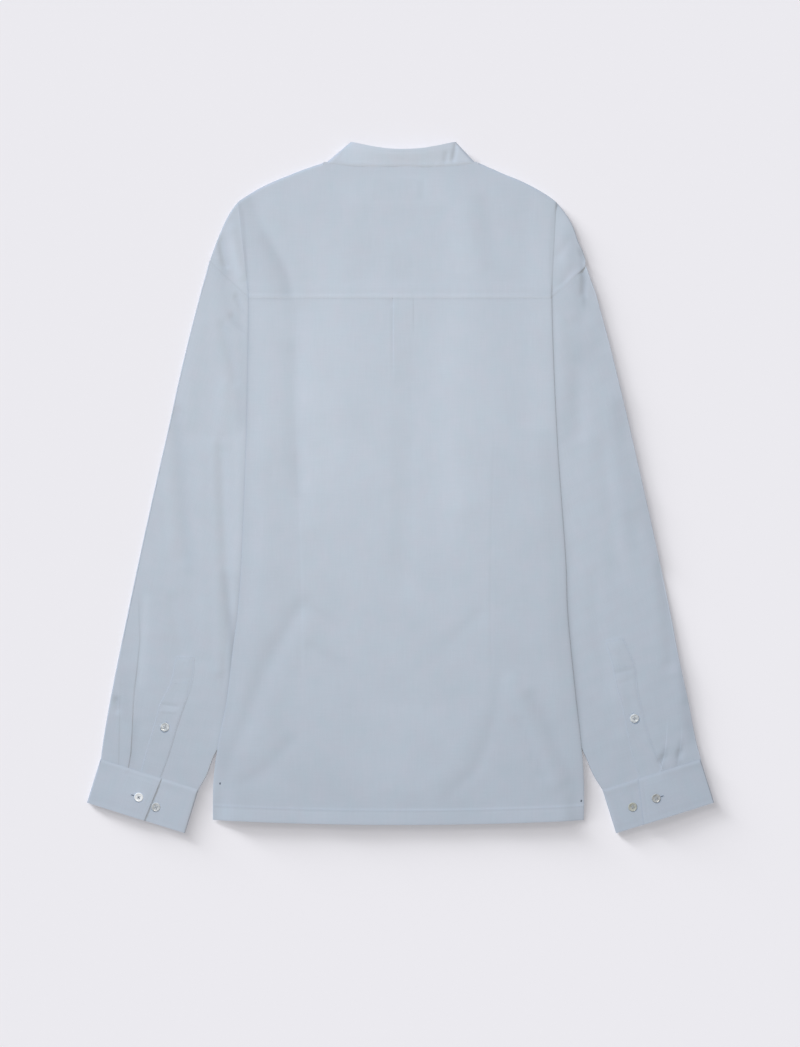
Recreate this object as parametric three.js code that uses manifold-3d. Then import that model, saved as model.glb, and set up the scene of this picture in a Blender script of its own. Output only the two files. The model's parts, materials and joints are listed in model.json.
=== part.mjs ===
// A mandarin collar shirt laid flat with its back up, in millimetres.
// +Z is up, +Y points to the collar and +X to the wearer's right sleeve.
// Every cloth piece is a wall: a grid of points on its middle surface, thickened both ways.
import * as THREE from 'three';
import { mergeVertices } from 'three/addons/utils/BufferGeometryUtils.js';
import Module from 'manifold-3d';

const wasm = await Module();
wasm.setup();

// Driving dimensions.
const CLOTH = 1.0; // wall of one layer of shirting
const BAND = 1.4; // wall of the doubled collar band and cuffs
const SEAM = 0.45; // gap between pieces that meet edge to edge
const LAP = 0.35; // gap between pieces that lie on each other
const ROOM = 0.4; // extra gap where two curved walls run side by side
const YOKE_SEAM_Y = 218.5;
const YOKE_LAP = 8; // how far the back's top edge runs up under the yoke
const YOKE_FALL = 22; // width over which the yoke comes down beyond it
const HEM_Y = -387.5; // lowest point of the hem, in the middle
const HEM_RISE = 5.5; // how much higher the hem is at the sides
const HEM_DEPTH = 17;
const HEM_EXTRA = 0.8; // how much thicker the turned hem is
const BACK_ROWS = 16; // rows of the back between its seam and its hem
const EDGE_FALL = 10; // width over which the back comes down at its side edges
const SLEEVE_GAP = 1.6; // room between the two layers of a sleeve
const SLEEVE_TOP = 2 * CLOTH + SLEEVE_GAP;
const OVER_SLEEVE = SLEEVE_TOP + LAP + 0.25; // underside of a front where a sleeve lies below it
const BESIDE_SLEEVE = 15; // how far beside a sleeve a front stays up
const FALL = 30; // how far it then takes to come down to the table
const BUTTON_RADIUS = 5.3;
const BUTTON_THICK = 2.2;
const OVER_BUTTON = BUTTON_THICK + LAP; // underside of the left front over its buttons
const CLOSING = 15; // half of the overlap of the fronts
const RIDGE_FLAT = 24; // half width of the raised strip along the closing
const RIDGE_FOOT = 45;
const CLOSING_TOP = 326; // the front neckline, above which nothing lies under the back
const CLOSING_FADE = 24;
const BACK_UNDER = { free: 4.2, overSleeve: 2.3, overClosing: 2.1 }; // underside of the back
const CUFF_WIDTH = 117.3;
const CUFF_DEPTH = 51.2;
const CUFF_TILT = Math.atan2(35, 112);
const CUFF_CORNER = { x: 345.3, y: -313.2 }; // where the cuff seam meets the sleeve's outer edge
const PLACKET_WIDTH = 22.5;
const PLACKET_TAPER = 0.92; // its width at the top, as a share
const ON_SLEEVE = CLOTH + LAP + 0.1; // from the sleeve's middle surface to the strip's
const SLIT_LENGTH = 105;
const SLIT_WIDTH = 0.8;
const SHOULDER_Y = 263; // where the sleeves begin at their outer edge, and below at the underarm
const UNDERARM_Y = 159;
const WRIST_OUTER_Y = -313;
const WRIST_INNER_Y = -348;
const HEAD_GAP = 1.2; // from the armhole seam down to the sleeve head
const HEAD_SHARE = 0.25; // share of a sleeve's length that takes up the slant of its head

// Half width of the body along its side edges, and of the fold over the armholes above the yoke seam.
const BODY_EDGE = [
  { y: 329, left: 186.5, right: 182 },
  { y: 315, left: 181, right: 177 },
  { y: 269, left: 178, right: 174 },
  { y: 218, left: 175, right: 174 },
  { y: 147, left: 176, right: 176 },
  { y: 44, left: 178, right: 181 },
  { y: -83, left: 183, right: 190 },
  { y: -140, left: 187, right: 192 },
  { y: -186, left: 193, right: 196 },
  { y: -244, left: 200, right: 202 },
  { y: -296, left: 210, right: 208 },
  { y: -336, left: 215, right: 211 },
  { y: -389, left: 216, right: 211 },
];

// Outer edge of the shoulders, from the neck, and of the sleeves down to the cuffs.
const OUTER_EDGE = [
  { y: 374, left: 88, right: 89 },
  { y: 367, left: 110, right: 106 },
  { y: 360, left: 128, right: 122 },
  { y: 354, left: 143, right: 137 },
  { y: 345, left: 162, right: 155 },
  { y: 336, left: 177, right: 170 },
  { y: 329, left: 187, right: 179 },
  { y: 317, left: 196, right: 189 },
  { y: 308, left: 201, right: 195 },
  { y: 297, left: 206, right: 200 },
  { y: 285, left: 211, right: 204 },
  { y: 274, left: 215, right: 209 },
  { y: 260, left: 220, right: 214 },
  { y: 245, left: 224, right: 219 },
  { y: 228, left: 229, right: 225 },
  { y: 205, left: 235, right: 231 },
  { y: 170, left: 244, right: 240 },
  { y: 124, left: 255, right: 251 },
  { y: 78, left: 265, right: 262 },
  { y: 21, left: 278, right: 275 },
  { y: -37, left: 291, right: 288 },
  { y: -83, left: 301, right: 298 },
  { y: -140, left: 313, right: 310 },
  { y: -198, left: 325, right: 321 },
  { y: -244, left: 334, right: 331 },
  { y: -290, left: 342, right: 340 },
  { y: -313, left: 345, right: 346 },
];

// Inner edge of the sleeves, under the body down to where they come out beside the hem.
const INNER_EDGE = [
  { y: 159, left: 83, right: 83 },
  { y: 40, left: 124, right: 123 },
  { y: -83, left: 163, right: 161 },
  { y: -200, left: 192, right: 190 },
  { y: -309, left: 215, right: 213 },
  { y: -330, left: 223, right: 222 },
  { y: -348, left: 233, right: 233 },
];

// The front neckline seam from the middle out to the neck point, and the band's free edge above it.
const FRONT_NECK = [
  { x: 0, y: 302, freeX: 0, freeY: 322.5 },
  { x: 20, y: 304, freeX: 18, freeY: 324 },
  { x: 45, y: 311, freeX: 32, freeY: 330 },
  { x: 70, y: 328, freeX: 50, freeY: 342 },
  { x: 83.5, y: 349, freeX: 58.5, freeY: 360 },
];

// The armhole seam: the underarm, which the body hides, and from the fold over the seam outwards.
const ARMHOLE = [
  { x: 83, y: 159 },
  { x: 130, y: 191 },
  { x: 178.5, y: 225 },
  { x: 184, y: 230 },
  { x: 193, y: 238 },
  { x: 203, y: 247 },
  { x: 213, y: 257 },
  { x: 222, y: 266 },
];
const ARMHOLE_SHOWN = ARMHOLE.slice(2, 7);

// The collar band from the middle of the back, round the side fold, to its front end.
// base is its sewn edge, top is its free edge, and z is the height of its middle surface.
const BAND_SECTIONS = [
  { base: [0, 371.2], top: [2, 389.6], z: 5.9, lift: 3.4 },
  { base: [21, 370.7], top: [20, 390.6], z: 5.8, lift: 3.4 },
  { base: [42, 370.9], top: [38, 393.4], z: 5.5, lift: 3.2 },
  { base: [64, 372.2], top: [52, 396.4], z: 5.2, lift: 2.6 },
  { base: [80, 374.0], top: [57.5, 397.6], z: 4.8, lift: 2.0 },
  { base: [85.6, 374.2], top: [59.6, 397.7], z: 4.0, lift: 1.6 },
  { base: [87.2, 373.6], top: [60.8, 396.8], z: 2.6, lift: 1.2 },
  { base: [86.2, 369.4], top: [60.6, 393.0], z: 1.2, lift: 0.6 },
  { base: [84.6, 361], top: [60, 382], z: 0.7, lift: 0 },
];

const BAND_SHIFT = 3; // how far the band's free edge lies to the right of its seam

// Soft folds, each a ridge (high above 0) or a trough (below 0) along a line.
const BACK_FOLDS = [
  { x0: -118, y0: -122, x1: -200, y1: -318, width: 13, high: -0.8 },
  { x0: -98, y0: -150, x1: -176, y1: -300, width: 14, high: 0.8 },
  { x0: 134, y0: -206, x1: 196, y1: -345, width: 13, high: -0.8 },
  { x0: 108, y0: -250, x1: 46, y1: -352, width: 14, high: 0.8 },
  { x0: -85, y0: 190, x1: -88, y1: -60, width: 22, high: 0.5 },
  { x0: 60, y0: 190, x1: 66, y1: -60, width: 22, high: 0.5 },
];
const SLEEVE_FOLDS = {
  left: [
    { x0: -302, y0: -125, x1: -313, y1: -300, width: 8, high: 1.6 },
    { x0: -320, y0: -185, x1: -326, y1: -300, width: 8, high: 1.2 },
    { x0: -259, y0: 76, x1: -248, y1: -82, width: 11, high: -0.7 },
    { x0: -205, y0: 165, x1: -207, y1: -80, width: 12, high: 0.9 },
  ],
  right: [
    { x0: 306, y0: -129, x1: 316, y1: -250, width: 10, high: 1.4 },
    { x0: 300, y0: -230, x1: 308, y1: -306, width: 8, high: 1.2 },
    { x0: 262, y0: 60, x1: 284, y1: -90, width: 11, high: -0.7 },
  ],
};

// The strip over each sleeve slit, the ends of the cuffs, and what is sewn there.
const WRIST = {
  left: {
    strip: [
      { x: -248, y: -193 },
      { x: -254, y: -232 },
      { x: -270, y: -266 },
      { x: -284, y: -319 },
    ],
    cuffSlit: 70.5,
    stripButton: { x: -271, y: -275 },
    fastened: { x: -301, y: -355.6 },
    spare: { x: -281.4, y: -367 },
  },
  right: {
    strip: [
      { x: 247, y: -173 },
      { x: 260, y: -214 },
      { x: 270, y: -266 },
      { x: 284, y: -317 },
    ],
    cuffSlit: 78,
    stripButton: { x: 269, y: -265 },
    fastened: { x: 293.9, y: -356.7 },
    spare: { x: 267, y: -366.9 },
  },
};

const SIDES = { left: -1, right: 1 };

function lerp(a, b, t) {
  return a + (b - a) * t;
}

function smooth(t) {
  const s = Math.min(Math.max(t, 0), 1);
  return s * s * (3 - 2 * s);
}

// A table's column at y, on a curve through its rows, whose y falls from row to row.
function read(table, y, column) {
  const last = table.length - 1;
  let i = 0;
  while (i < last - 1 && y < table[i + 1].y) i += 1;
  const [before, a, b, after] = [i - 1, i, i + 1, i + 2].map(
    (k) => table[Math.min(Math.max(k, 0), last)],
  );
  const span = b.y - a.y;
  const t = Math.min(Math.max((y - a.y) / span, 0), 1);
  const slopeA = ((b[column] - before[column]) / (b.y - before.y)) * span;
  const slopeB = ((after[column] - a[column]) / (after.y - a.y)) * span;
  const t2 = t * t;
  const t3 = t2 * t;
  return (
    (2 * t3 - 3 * t2 + 1) * a[column] +
    (t3 - 2 * t2 + t) * slopeA +
    (3 * t2 - 2 * t3) * b[column] +
    (t3 - t2) * slopeB
  );
}

function outer(side, y) {
  return SIDES[side] * read(OUTER_EDGE, y, side);
}

function inner(side, y) {
  return SIDES[side] * read(INNER_EDGE, y, side);
}

function bodyEdge(side, y) {
  return SIDES[side] * read(BODY_EDGE, y, side);
}

function hemY(x) {
  return HEM_Y + HEM_RISE * Math.min((x / 213) ** 2, 1);
}

// Height of soft folds at a point: a bell across each line, fading at its ends.
function folds(table, x, y) {
  let sum = 0;
  for (const f of table) {
    const dx = f.x1 - f.x0;
    const dy = f.y1 - f.y0;
    const length = Math.hypot(dx, dy);
    const along = ((x - f.x0) * dx + (y - f.y0) * dy) / length;
    const across = ((x - f.x0) * dy - (y - f.y0) * dx) / length;
    const fade = 2.5 * f.width;
    const ends = smooth((along + f.width) / fade) * smooth((length + f.width - along) / fade);
    sum += f.high * Math.exp(-((across / f.width) ** 2)) * ends;
  }
  return sum;
}

// A closed wall on a grid of middle-surface points. thickness is a number, or a function of row
// and column. closed joins the last column to the first.
function wall(points, thickness, { closed = false } = {}) {
  const rows = points.length;
  const cols = points[0].length;
  const spans = closed ? cols : cols - 1;
  const at = (i, j) => i * cols + (j % cols);
  const normals = Array.from({ length: rows * cols }, () => new THREE.Vector3());
  const flat = points.flat();
  for (let i = 0; i < rows - 1; i += 1) {
    for (let j = 0; j < spans; j += 1) {
      const corners = [at(i, j), at(i, j + 1), at(i + 1, j + 1), at(i + 1, j)];
      const [a, b, c, d] = corners.map((k) => flat[k]);
      const n = c.clone().sub(a).cross(d.clone().sub(b)).normalize();
      corners.forEach((k) => normals[k].add(n));
    }
  }
  const total = rows * cols;
  const position = new Float32Array(total * 6);
  const thicknessAt = typeof thickness === 'function' ? thickness : () => thickness;
  flat.forEach((p, k) => {
    const half = thicknessAt(Math.floor(k / cols), k % cols) / 2;
    const n = normals[k].normalize();
    p.clone().addScaledVector(n, half).toArray(position, k * 3);
    p.clone().addScaledVector(n, -half).toArray(position, (total + k) * 3);
  });
  const index = [];
  const quad = (a, b, c, d) => index.push(a, b, c, a, c, d);
  for (let i = 0; i < rows - 1; i += 1) {
    for (let j = 0; j < spans; j += 1) {
      const [a, b, c, d] = [at(i, j), at(i, j + 1), at(i + 1, j + 1), at(i + 1, j)];
      quad(a, b, c, d);
      quad(total + d, total + c, total + b, total + a);
    }
  }
  for (let j = 0; j < spans; j += 1) {
    quad(at(0, j + 1), at(0, j), total + at(0, j), total + at(0, j + 1));
    quad(at(rows - 1, j), at(rows - 1, j + 1), total + at(rows - 1, j + 1), total + at(rows - 1, j));
  }
  if (!closed) {
    for (let i = 0; i < rows - 1; i += 1) {
      quad(at(i, 0), at(i + 1, 0), total + at(i + 1, 0), total + at(i, 0));
      quad(at(i + 1, cols - 1), at(i, cols - 1), total + at(i, cols - 1), total + at(i + 1, cols - 1));
    }
  }
  const geometry = new THREE.BufferGeometry();
  geometry.setAttribute('position', new THREE.BufferAttribute(position, 3));
  geometry.setIndex(index);
  return facingOut(geometry);
}

// Turns a closed geometry's faces outwards where its volume comes out negative.
function facingOut(geometry) {
  const p = geometry.attributes.position;
  const index = geometry.index.array;
  const [a, b, c] = [new THREE.Vector3(), new THREE.Vector3(), new THREE.Vector3()];
  let volume = 0;
  for (let k = 0; k < index.length; k += 3) {
    a.fromBufferAttribute(p, index[k]);
    b.fromBufferAttribute(p, index[k + 1]);
    c.fromBufferAttribute(p, index[k + 2]);
    volume += a.dot(b.cross(c));
  }
  if (volume < 0) {
    for (let k = 0; k < index.length; k += 3) {
      [index[k], index[k + 1]] = [index[k + 1], index[k]];
    }
  }
  return geometry;
}

function solid(geometry) {
  const bare = geometry.clone();
  bare.deleteAttribute('normal');
  bare.deleteAttribute('uv');
  const merged = mergeVertices(bare);
  return new wasm.Manifold(
    new wasm.Mesh({
      numProp: 3,
      vertProperties: new Float32Array(merged.attributes.position.array),
      triVerts: new Uint32Array(merged.index.array),
    }),
  );
}

function geometryOf(manifold) {
  const mesh = manifold.getMesh();
  const geometry = new THREE.BufferGeometry();
  geometry.setAttribute('position', new THREE.BufferAttribute(new Float32Array(mesh.vertProperties), 3));
  geometry.setIndex(Array.from(mesh.triVerts));
  return geometry;
}

// Each sleeve's outline on the table, for what is laid over it.
function sleeveOutline(side) {
  const steps = 14;
  const outline = [];
  for (let i = 0; i <= steps; i += 1) {
    const y = lerp(SHOULDER_Y, WRIST_OUTER_Y, i / steps);
    outline.push([outer(side, y), y]);
  }
  for (let i = steps; i >= 0; i -= 1) {
    const y = lerp(UNDERARM_Y, WRIST_INNER_Y, i / steps);
    outline.push([inner(side, y), y]);
  }
  return outline;
}

const SLEEVE_OUTLINES = Object.keys(SIDES).map(sleeveOutline);

// Distance from a point to an outline, or 0 inside it.
function distanceTo(outline, x, y) {
  let inside = false;
  let nearest = Infinity;
  outline.forEach(([bx, by], i) => {
    const [ax, ay] = outline[(i + outline.length - 1) % outline.length];
    if (ay > y !== by > y && x < ((bx - ax) * (y - ay)) / (by - ay) + ax) inside = !inside;
    const t = ((x - ax) * (bx - ax) + (y - ay) * (by - ay)) / ((bx - ax) ** 2 + (by - ay) ** 2);
    const s = Math.min(Math.max(t, 0), 1);
    nearest = Math.min(nearest, Math.hypot(x - lerp(ax, bx, s), y - lerp(ay, by, s)));
  });
  return inside ? 0 : nearest;
}

// 1 over a sleeve, falling to 0 beside it.
function overSleeve(x, y) {
  const d = Math.min(...SLEEVE_OUTLINES.map((outline) => distanceTo(outline, x, y)));
  return 1 - smooth((d - BESIDE_SLEEVE) / FALL);
}

// 1 along the closing of the fronts, falling to 0 beside it and above the front neckline.
function overClosing(x, y) {
  const beside = 1 - smooth((Math.abs(x) - RIDGE_FLAT) / (RIDGE_FOOT - RIDGE_FLAT));
  return beside * (1 - smooth((y - CLOSING_TOP) / CLOSING_FADE));
}

// Undersides of the fronts and of the back and yoke.
function frontUnder(side, x, y) {
  const lift = side === 'left' ? OVER_BUTTON : OVER_BUTTON + CLOTH + LAP;
  return lift * overClosing(x, y) + OVER_SLEEVE * overSleeve(x, y);
}

function backUnder(x, y) {
  const { free, overSleeve: sleeve, overClosing: closing } = BACK_UNDER;
  return free + sleeve * overSleeve(x, y) + closing * overClosing(x, y);
}

// Height of the back's middle surface. It comes down onto the fronts at the side edges.
function backHeight(x, y) {
  const side = x < 0 ? 'left' : 'right';
  const fromEdge = Math.abs(bodyEdge(side, y)) - Math.abs(x);
  const low = OVER_SLEEVE * overSleeve(x, y) + CLOTH + LAP + 0.15;
  const fold = folds(BACK_FOLDS, x, y) * smooth(fromEdge / EDGE_FALL / 3);
  return lerp(low, backUnder(x, y) + fold, smooth((fromEdge + 1) / EDGE_FALL)) + CLOTH / 2;
}

// Lines down the back: its darts and the two folds of its box pleat.
const DART = [
  { y: 75, left: 121, right: 107 },
  { y: 44, left: 120, right: 107 },
  { y: -232, left: 114, right: 104.5 },
];
const DART_TOP = 80;
const DART_BOTTOM = -245;
const DART_HALF = 3.5;
const DART_DEPTH = 0.7;
const PLEAT = { left: -8, right: 14.5, lift: 0.9, rise: 1.3, full: 20, length: { left: 105, right: 55 } };

function dartHeight(x, y) {
  const side = x < 0 ? 'left' : 'right';
  const line = SIDES[side] * read(DART, y, side);
  const along = smooth((DART_TOP - y) / 50) * smooth((y - DART_BOTTOM) / 40);
  return -DART_DEPTH * along * Math.max(0, 1 - Math.abs(x - line) / DART_HALF);
}

function pleatHeight(x, y) {
  const down = YOKE_SEAM_Y - y;
  const mid = (PLEAT.left + PLEAT.right) / 2;
  const length = x < mid ? PLEAT.length.left : PLEAT.length.right;
  const within = x > PLEAT.left - 0.01 && x < PLEAT.right + 0.01;
  return within ? PLEAT.lift * (1 - smooth((down - PLEAT.full) / (length - PLEAT.full))) : 0;
}

function backColumns(y) {
  const [edgeL, edgeR] = [bodyEdge('left', y), bodyEdge('right', y)];
  const [dartL, dartR] = [-read(DART, y, 'left'), read(DART, y, 'right')];
  const [pleatL, pleatR] = [PLEAT.left, PLEAT.right];
  return [
    edgeL,
    edgeL + 3,
    edgeL + 9,
    lerp(edgeL, dartL, 0.45),
    dartL - DART_HALF,
    dartL,
    dartL + DART_HALF,
    lerp(dartL, pleatL, 0.25),
    lerp(dartL, pleatL, 0.5),
    lerp(dartL, pleatL, 0.75),
    pleatL - PLEAT.rise,
    pleatL,
    pleatR,
    pleatR + PLEAT.rise,
    lerp(pleatR, dartR, 0.25),
    lerp(pleatR, dartR, 0.5),
    lerp(pleatR, dartR, 0.75),
    dartR - DART_HALF,
    dartR,
    dartR + DART_HALF,
    lerp(edgeR, dartR, 0.45),
    edgeR - 9,
    edgeR - 3,
    edgeR,
  ];
}

// Rows of the back, as distances down from the yoke seam, for a hem that lies this far below it.
function backRows(length) {
  const upper = [-YOKE_LAP, 1, 14];
  const lower = [HEM_DEPTH, HEM_DEPTH - 12, 0].map((up) => length - up);
  const [from, to] = [upper[2], lower[0] - 0.8];
  const between = Array.from({ length: BACK_ROWS }, (_, i) => lerp(from, to, (i + 1) / BACK_ROWS));
  return [...upper, ...between, ...lower];
}

function makeBack() {
  const count = backRows(0).length;
  const hemFrom = count - 3;
  const points = [];
  for (let i = 0; i < count; i += 1) {
    points.push(backColumns(HEM_Y).map((hemX, j) => {
      const y = YOKE_SEAM_Y - backRows(YOKE_SEAM_Y - hemY(hemX))[i];
      const x = backColumns(y)[j];
      const z = backHeight(x, y) + dartHeight(x, y) + pleatHeight(x, y);
      return new THREE.Vector3(x, y, z + (i >= hemFrom ? HEM_EXTRA / 2 : 0));
    }));
  }
  return wall(points, (i) => (i >= hemFrom ? CLOTH + HEM_EXTRA : CLOTH));
}

// Columns of a shoulder, from the neck point to the armhole: where each leaves the shoulder line,
// where it ends on the seam below, and how far its turned strip runs down the front.
function shoulderColumns(side) {
  const s = SIDES[side];
  const onLine = [373.4, 366, 358, 349, 339, 329];
  const seamX = [97, 114, 131, 147, 162, Math.abs(bodyEdge(side, YOKE_SEAM_Y)) - 0.5];
  const columns = onLine.map((y, i) => ({
    top: [outer(side, y) + (i === 0 ? 0.8 * s : 0), y],
    bottom: [s * seamX[i], YOKE_SEAM_Y],
    turned: 25 + i,
    low: false,
  }));
  const beyond = [327.6, 314, 299, 284, 268];
  beyond.forEach((y, i) => {
    columns.push({
      top: [outer(side, y), y],
      bottom: [s * ARMHOLE_SHOWN[i].x, ARMHOLE_SHOWN[i].y],
      turned: null,
      low: true,
    });
  });
  return columns;
}

// Where a shoulder column is at a distance down from the shoulder line.
function downColumn(column, distance) {
  const dx = column.bottom[0] - column.top[0];
  const dy = column.bottom[1] - column.top[1];
  const length = Math.hypot(dx, dy);
  const t = (distance === null ? length : distance) / length;
  return [column.top[0] + dx * t, column.top[1] + dy * t];
}

function yokeHeight(x, y, low) {
  if (low) return SLEEVE_TOP - CLOTH / 2;
  const nearSeam = 1 - smooth((y - YOKE_SEAM_Y - YOKE_LAP) / YOKE_FALL);
  const over = (CLOTH + LAP + pleatHeight(x, YOKE_SEAM_Y)) * nearSeam;
  return backUnder(x, y) + LAP + over + CLOTH / 2;
}

// Rows of a shoulder column, as distance from the shoulder line and height between table and top.
const TURN = [
  { inward: 3.4, up: 0 },
  { inward: 0.9, up: 0.16 },
  { inward: 0, up: 0.5 },
  { inward: 0.9, up: 0.84 },
  { inward: 3.4, up: 1 },
];
const YOKE_DOWN = [0.14, 0.32, 0.5, 0.68, 0.84, 0.93, 1];

// The flat part of the yoke, between the neck points, ends on the neck seam; each shoulder part
// turns over the shoulder line. The three are joined into one piece.
function makeYoke() {
  const pleatX = [PLEAT.left - PLEAT.rise, PLEAT.left, PLEAT.right, PLEAT.right + PLEAT.rise];
  const seamX = [-97, -72, -48, -24, ...pleatX, 24, 48, 72, 97];
  const middle = [0, ...YOKE_DOWN].map((t) => seamX.map((x) => {
    const top = neckPoint(x);
    const y = lerp(top[1], YOKE_SEAM_Y, t);
    const px = lerp(top[0], x, t);
    return new THREE.Vector3(px, y, yokeHeight(px, y, false));
  }));
  const parts = [solid(wall(middle, CLOTH))];
  for (const side of Object.keys(SIDES)) {
    const columns = shoulderColumns(side);
    // The shoulder part reaches a little into the flat part, so that the two join.
    columns.unshift({
      ...columns[0],
      top: [columns[0].top[0] - SIDES[side] * 1.5, columns[0].top[1]],
      bottom: [columns[0].bottom[0] - SIDES[side] * 3, YOKE_SEAM_Y],
    });
    const rowCount = 1 + TURN.length + YOKE_DOWN.length;
    const rows = [];
    for (let i = 0; i < rowCount; i += 1) {
      rows.push(columns.map((column) => {
        const length = Math.hypot(column.bottom[0] - column.top[0], column.bottom[1] - column.top[1]);
        const squeeze = Math.min(1, length / 24);
        if (i === 0) {
          const [x, y] = downColumn(column, column.turned);
          return new THREE.Vector3(x, y, CLOTH / 2);
        }
        if (i <= TURN.length) {
          const { inward, up } = TURN[i - 1];
          const [x, y] = downColumn(column, inward * squeeze);
          return new THREE.Vector3(x, y, lerp(CLOTH / 2, yokeHeight(x, y, column.low), up));
        }
        const from = TURN[TURN.length - 1].inward * squeeze;
        const [x, y] = downColumn(column, lerp(from, length, YOKE_DOWN[i - 1 - TURN.length]));
        return new THREE.Vector3(x, y, yokeHeight(x, y, column.low));
      }));
    }
    parts.push(solid(wall(rows, CLOTH)));
  }
  return geometryOf(parts[0].add(parts[1]).add(parts[2]));
}

// A point of the back neck seam above a point of the yoke seam.
function neckPoint(seamX) {
  const sections = BAND_SECTIONS.slice(0, 6);
  const x = Math.abs(seamX) * (88.3 / 97);
  const i = Math.max(1, sections.findIndex(({ base }) => base[0] >= x));
  const [a, b] = x >= sections[5].base[0] ? [sections[4], sections[5]] : [sections[i - 1], sections[i]];
  const t = (x - a.base[0]) / (b.base[0] - a.base[0]);
  return [Math.sign(seamX) * x, lerp(a.base[1], b.base[1], Math.min(t, 1)) - SEAM - LAP];
}

// The two fronts. Columns follow the corners of the neckline and of the yoke's turned edge.
function makeFront(side) {
  const s = SIDES[side];
  const shoulder = shoulderColumns(side).filter((column) => !column.low);
  const tops = [
    [-s * CLOSING, FRONT_NECK[0].y - SEAM - ROOM],
    ...FRONT_NECK.map(({ x, y }) => [s * x, y - SEAM - ROOM]),
    ...shoulder.slice(1).map((column) => {
      const [x, y] = downColumn(column, column.turned + SEAM);
      return [x, y];
    }),
  ];
  const corner = tops.length - shoulder.length;
  tops[corner] = [s * 84.2, 346.6];
  tops[tops.length - 1][0] -= s * 4;
  const topEdge = Math.abs(tops[tops.length - 1][0]);
  const down = [0, 0.03, 0.07, 0.12, 0.17, 0.22, 0.27, 0.33, 0.4, 0.48, 0.57, 0.67, 0.78, 0.88, 0.96, 1];
  const points = down.map((t) => tops.map(([topX, topY]) => {
    const y = lerp(topY, hemY(topX) + 1.5, t);
    const edge = Math.abs(bodyEdge(side, y)) - 1 - 3 * smooth((y - 150) / 60);
    const x = lerp(topX, (topX / topEdge) * edge, smooth(t / 0.2));
    return new THREE.Vector3(x, y, frontUnder(side, x, y) + CLOTH / 2);
  }));
  return wall(points, CLOTH);
}

// The collar band, from its left front end round the back to its right front end.
function makeBand() {
  const back = (s) => BAND_SECTIONS.map(({ base, top, z, lift }) => ({
    base: [s * base[0], base[1]],
    top: [s * top[0] + (z > BAND ? BAND_SHIFT : 0), top[1]],
    z,
    lift,
  }));
  const front = (s, closing) => FRONT_NECK.map(({ x, y, freeX, freeY }) => ({
    base: [s * x, y + 0.2],
    top: [s * freeX, freeY],
    z: x < RIDGE_FLAT ? closing : BAND / 2,
    lift: 0,
  }));
  const end = (s, closing) => ({
    base: [-s * (CLOSING - 2), lerp(FRONT_NECK[0].y, FRONT_NECK[1].y, 0.7) + 0.2],
    top: [-s * (CLOSING - 3), lerp(FRONT_NECK[0].freeY, FRONT_NECK[1].freeY, 0.7)],
    z: closing,
    lift: 0,
  });
  const [under, over] = [OVER_BUTTON + BAND / 2, OVER_BUTTON + 1.5 * BAND + LAP];
  const all = [
    end(-1, under),
    ...front(-1, under),
    ...back(-1).reverse(),
    ...back(1).slice(1),
    ...front(1, over).reverse(),
    end(1, over),
  ];
  const up = [0, 0.33, 0.67, 1];
  const points = up.map((t) => all.map((row) => new THREE.Vector3(
    lerp(row.base[0], row.top[0], t),
    lerp(row.base[1], row.top[1], t),
    row.z + row.lift * smooth(t),
  )));
  return wall(points, BAND);
}

// Points round a flattened tube, as a share of its width from the outer edge and a height share.
const TUBE = [
  { across: 0.03, up: 1 },
  { across: 0.1, up: 1 },
  { across: 0.19, up: 1 },
  { across: 0.28, up: 1 },
  { across: 0.38, up: 1 },
  { across: 0.49, up: 1 },
  { across: 0.6, up: 1 },
  { across: 0.72, up: 1 },
  { across: 0.86, up: 1 },
  { across: 0.98, up: 1 },
  { across: 1, up: 0.5 },
  { across: 0.98, up: 0 },
  { across: 0.75, up: 0 },
  { across: 0.5, up: 0 },
  { across: 0.25, up: 0 },
  { across: 0.03, up: 0 },
  { across: 0, up: 0.5 },
];
const SLEEVE_ROWS = 22;

// The line across a sleeve at a share of its length: its outer and inner ends.
function sleeveLine(side, t) {
  const outerY = lerp(SHOULDER_Y - HEAD_GAP, WRIST_OUTER_Y + SEAM, t);
  const innerY = lerp(UNDERARM_Y, WRIST_INNER_Y + SEAM, t);
  return {
    outer: [outer(side, outerY), outerY],
    inner: [inner(side, innerY), innerY],
  };
}

// A point of a sleeve. Near its head it follows the armhole seam.
function sleevePoint(side, t, across) {
  const line = sleeveLine(side, t);
  const x = lerp(line.outer[0], line.inner[0], across);
  const y = lerp(line.outer[1], line.inner[1], across);
  const head = sleeveLine(side, 0);
  const headX = Math.abs(lerp(head.outer[0], head.inner[0], across));
  const headY = lerp(head.outer[1], head.inner[1], across);
  const toSeam = (armholeY(headX) - HEAD_GAP - headY) * (1 - smooth(t / HEAD_SHARE));
  return [x, y + toSeam];
}

function armholeY(x) {
  const i = Math.max(1, ARMHOLE.findIndex((row) => row.x >= x));
  const [a, b] = [ARMHOLE[i - 1], ARMHOLE[i]];
  return lerp(a.y, b.y, (x - a.x) / (b.x - a.x));
}

// Height of the upper layer's middle surface.
function sleeveHeight(side, x, y) {
  const shown = Math.abs(x) - Math.abs(bodyEdge(side, y));
  return SLEEVE_TOP - CLOTH / 2 + folds(SLEEVE_FOLDS[side], x, y) * smooth((shown - 4) / 14);
}

function makeSleeve(side) {
  const points = [];
  for (let i = 0; i < SLEEVE_ROWS; i += 1) {
    const t = i / (SLEEVE_ROWS - 1);
    points.push(TUBE.map(({ across, up }) => {
      const [x, y] = sleevePoint(side, t, across);
      return new THREE.Vector3(x, y, lerp(CLOTH / 2, sleeveHeight(side, x, y), up));
    }));
  }
  const tube = solid(wall(points, CLOTH, { closed: true }));
  return geometryOf(tube.subtract(slitCutter(side)));
}

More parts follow.
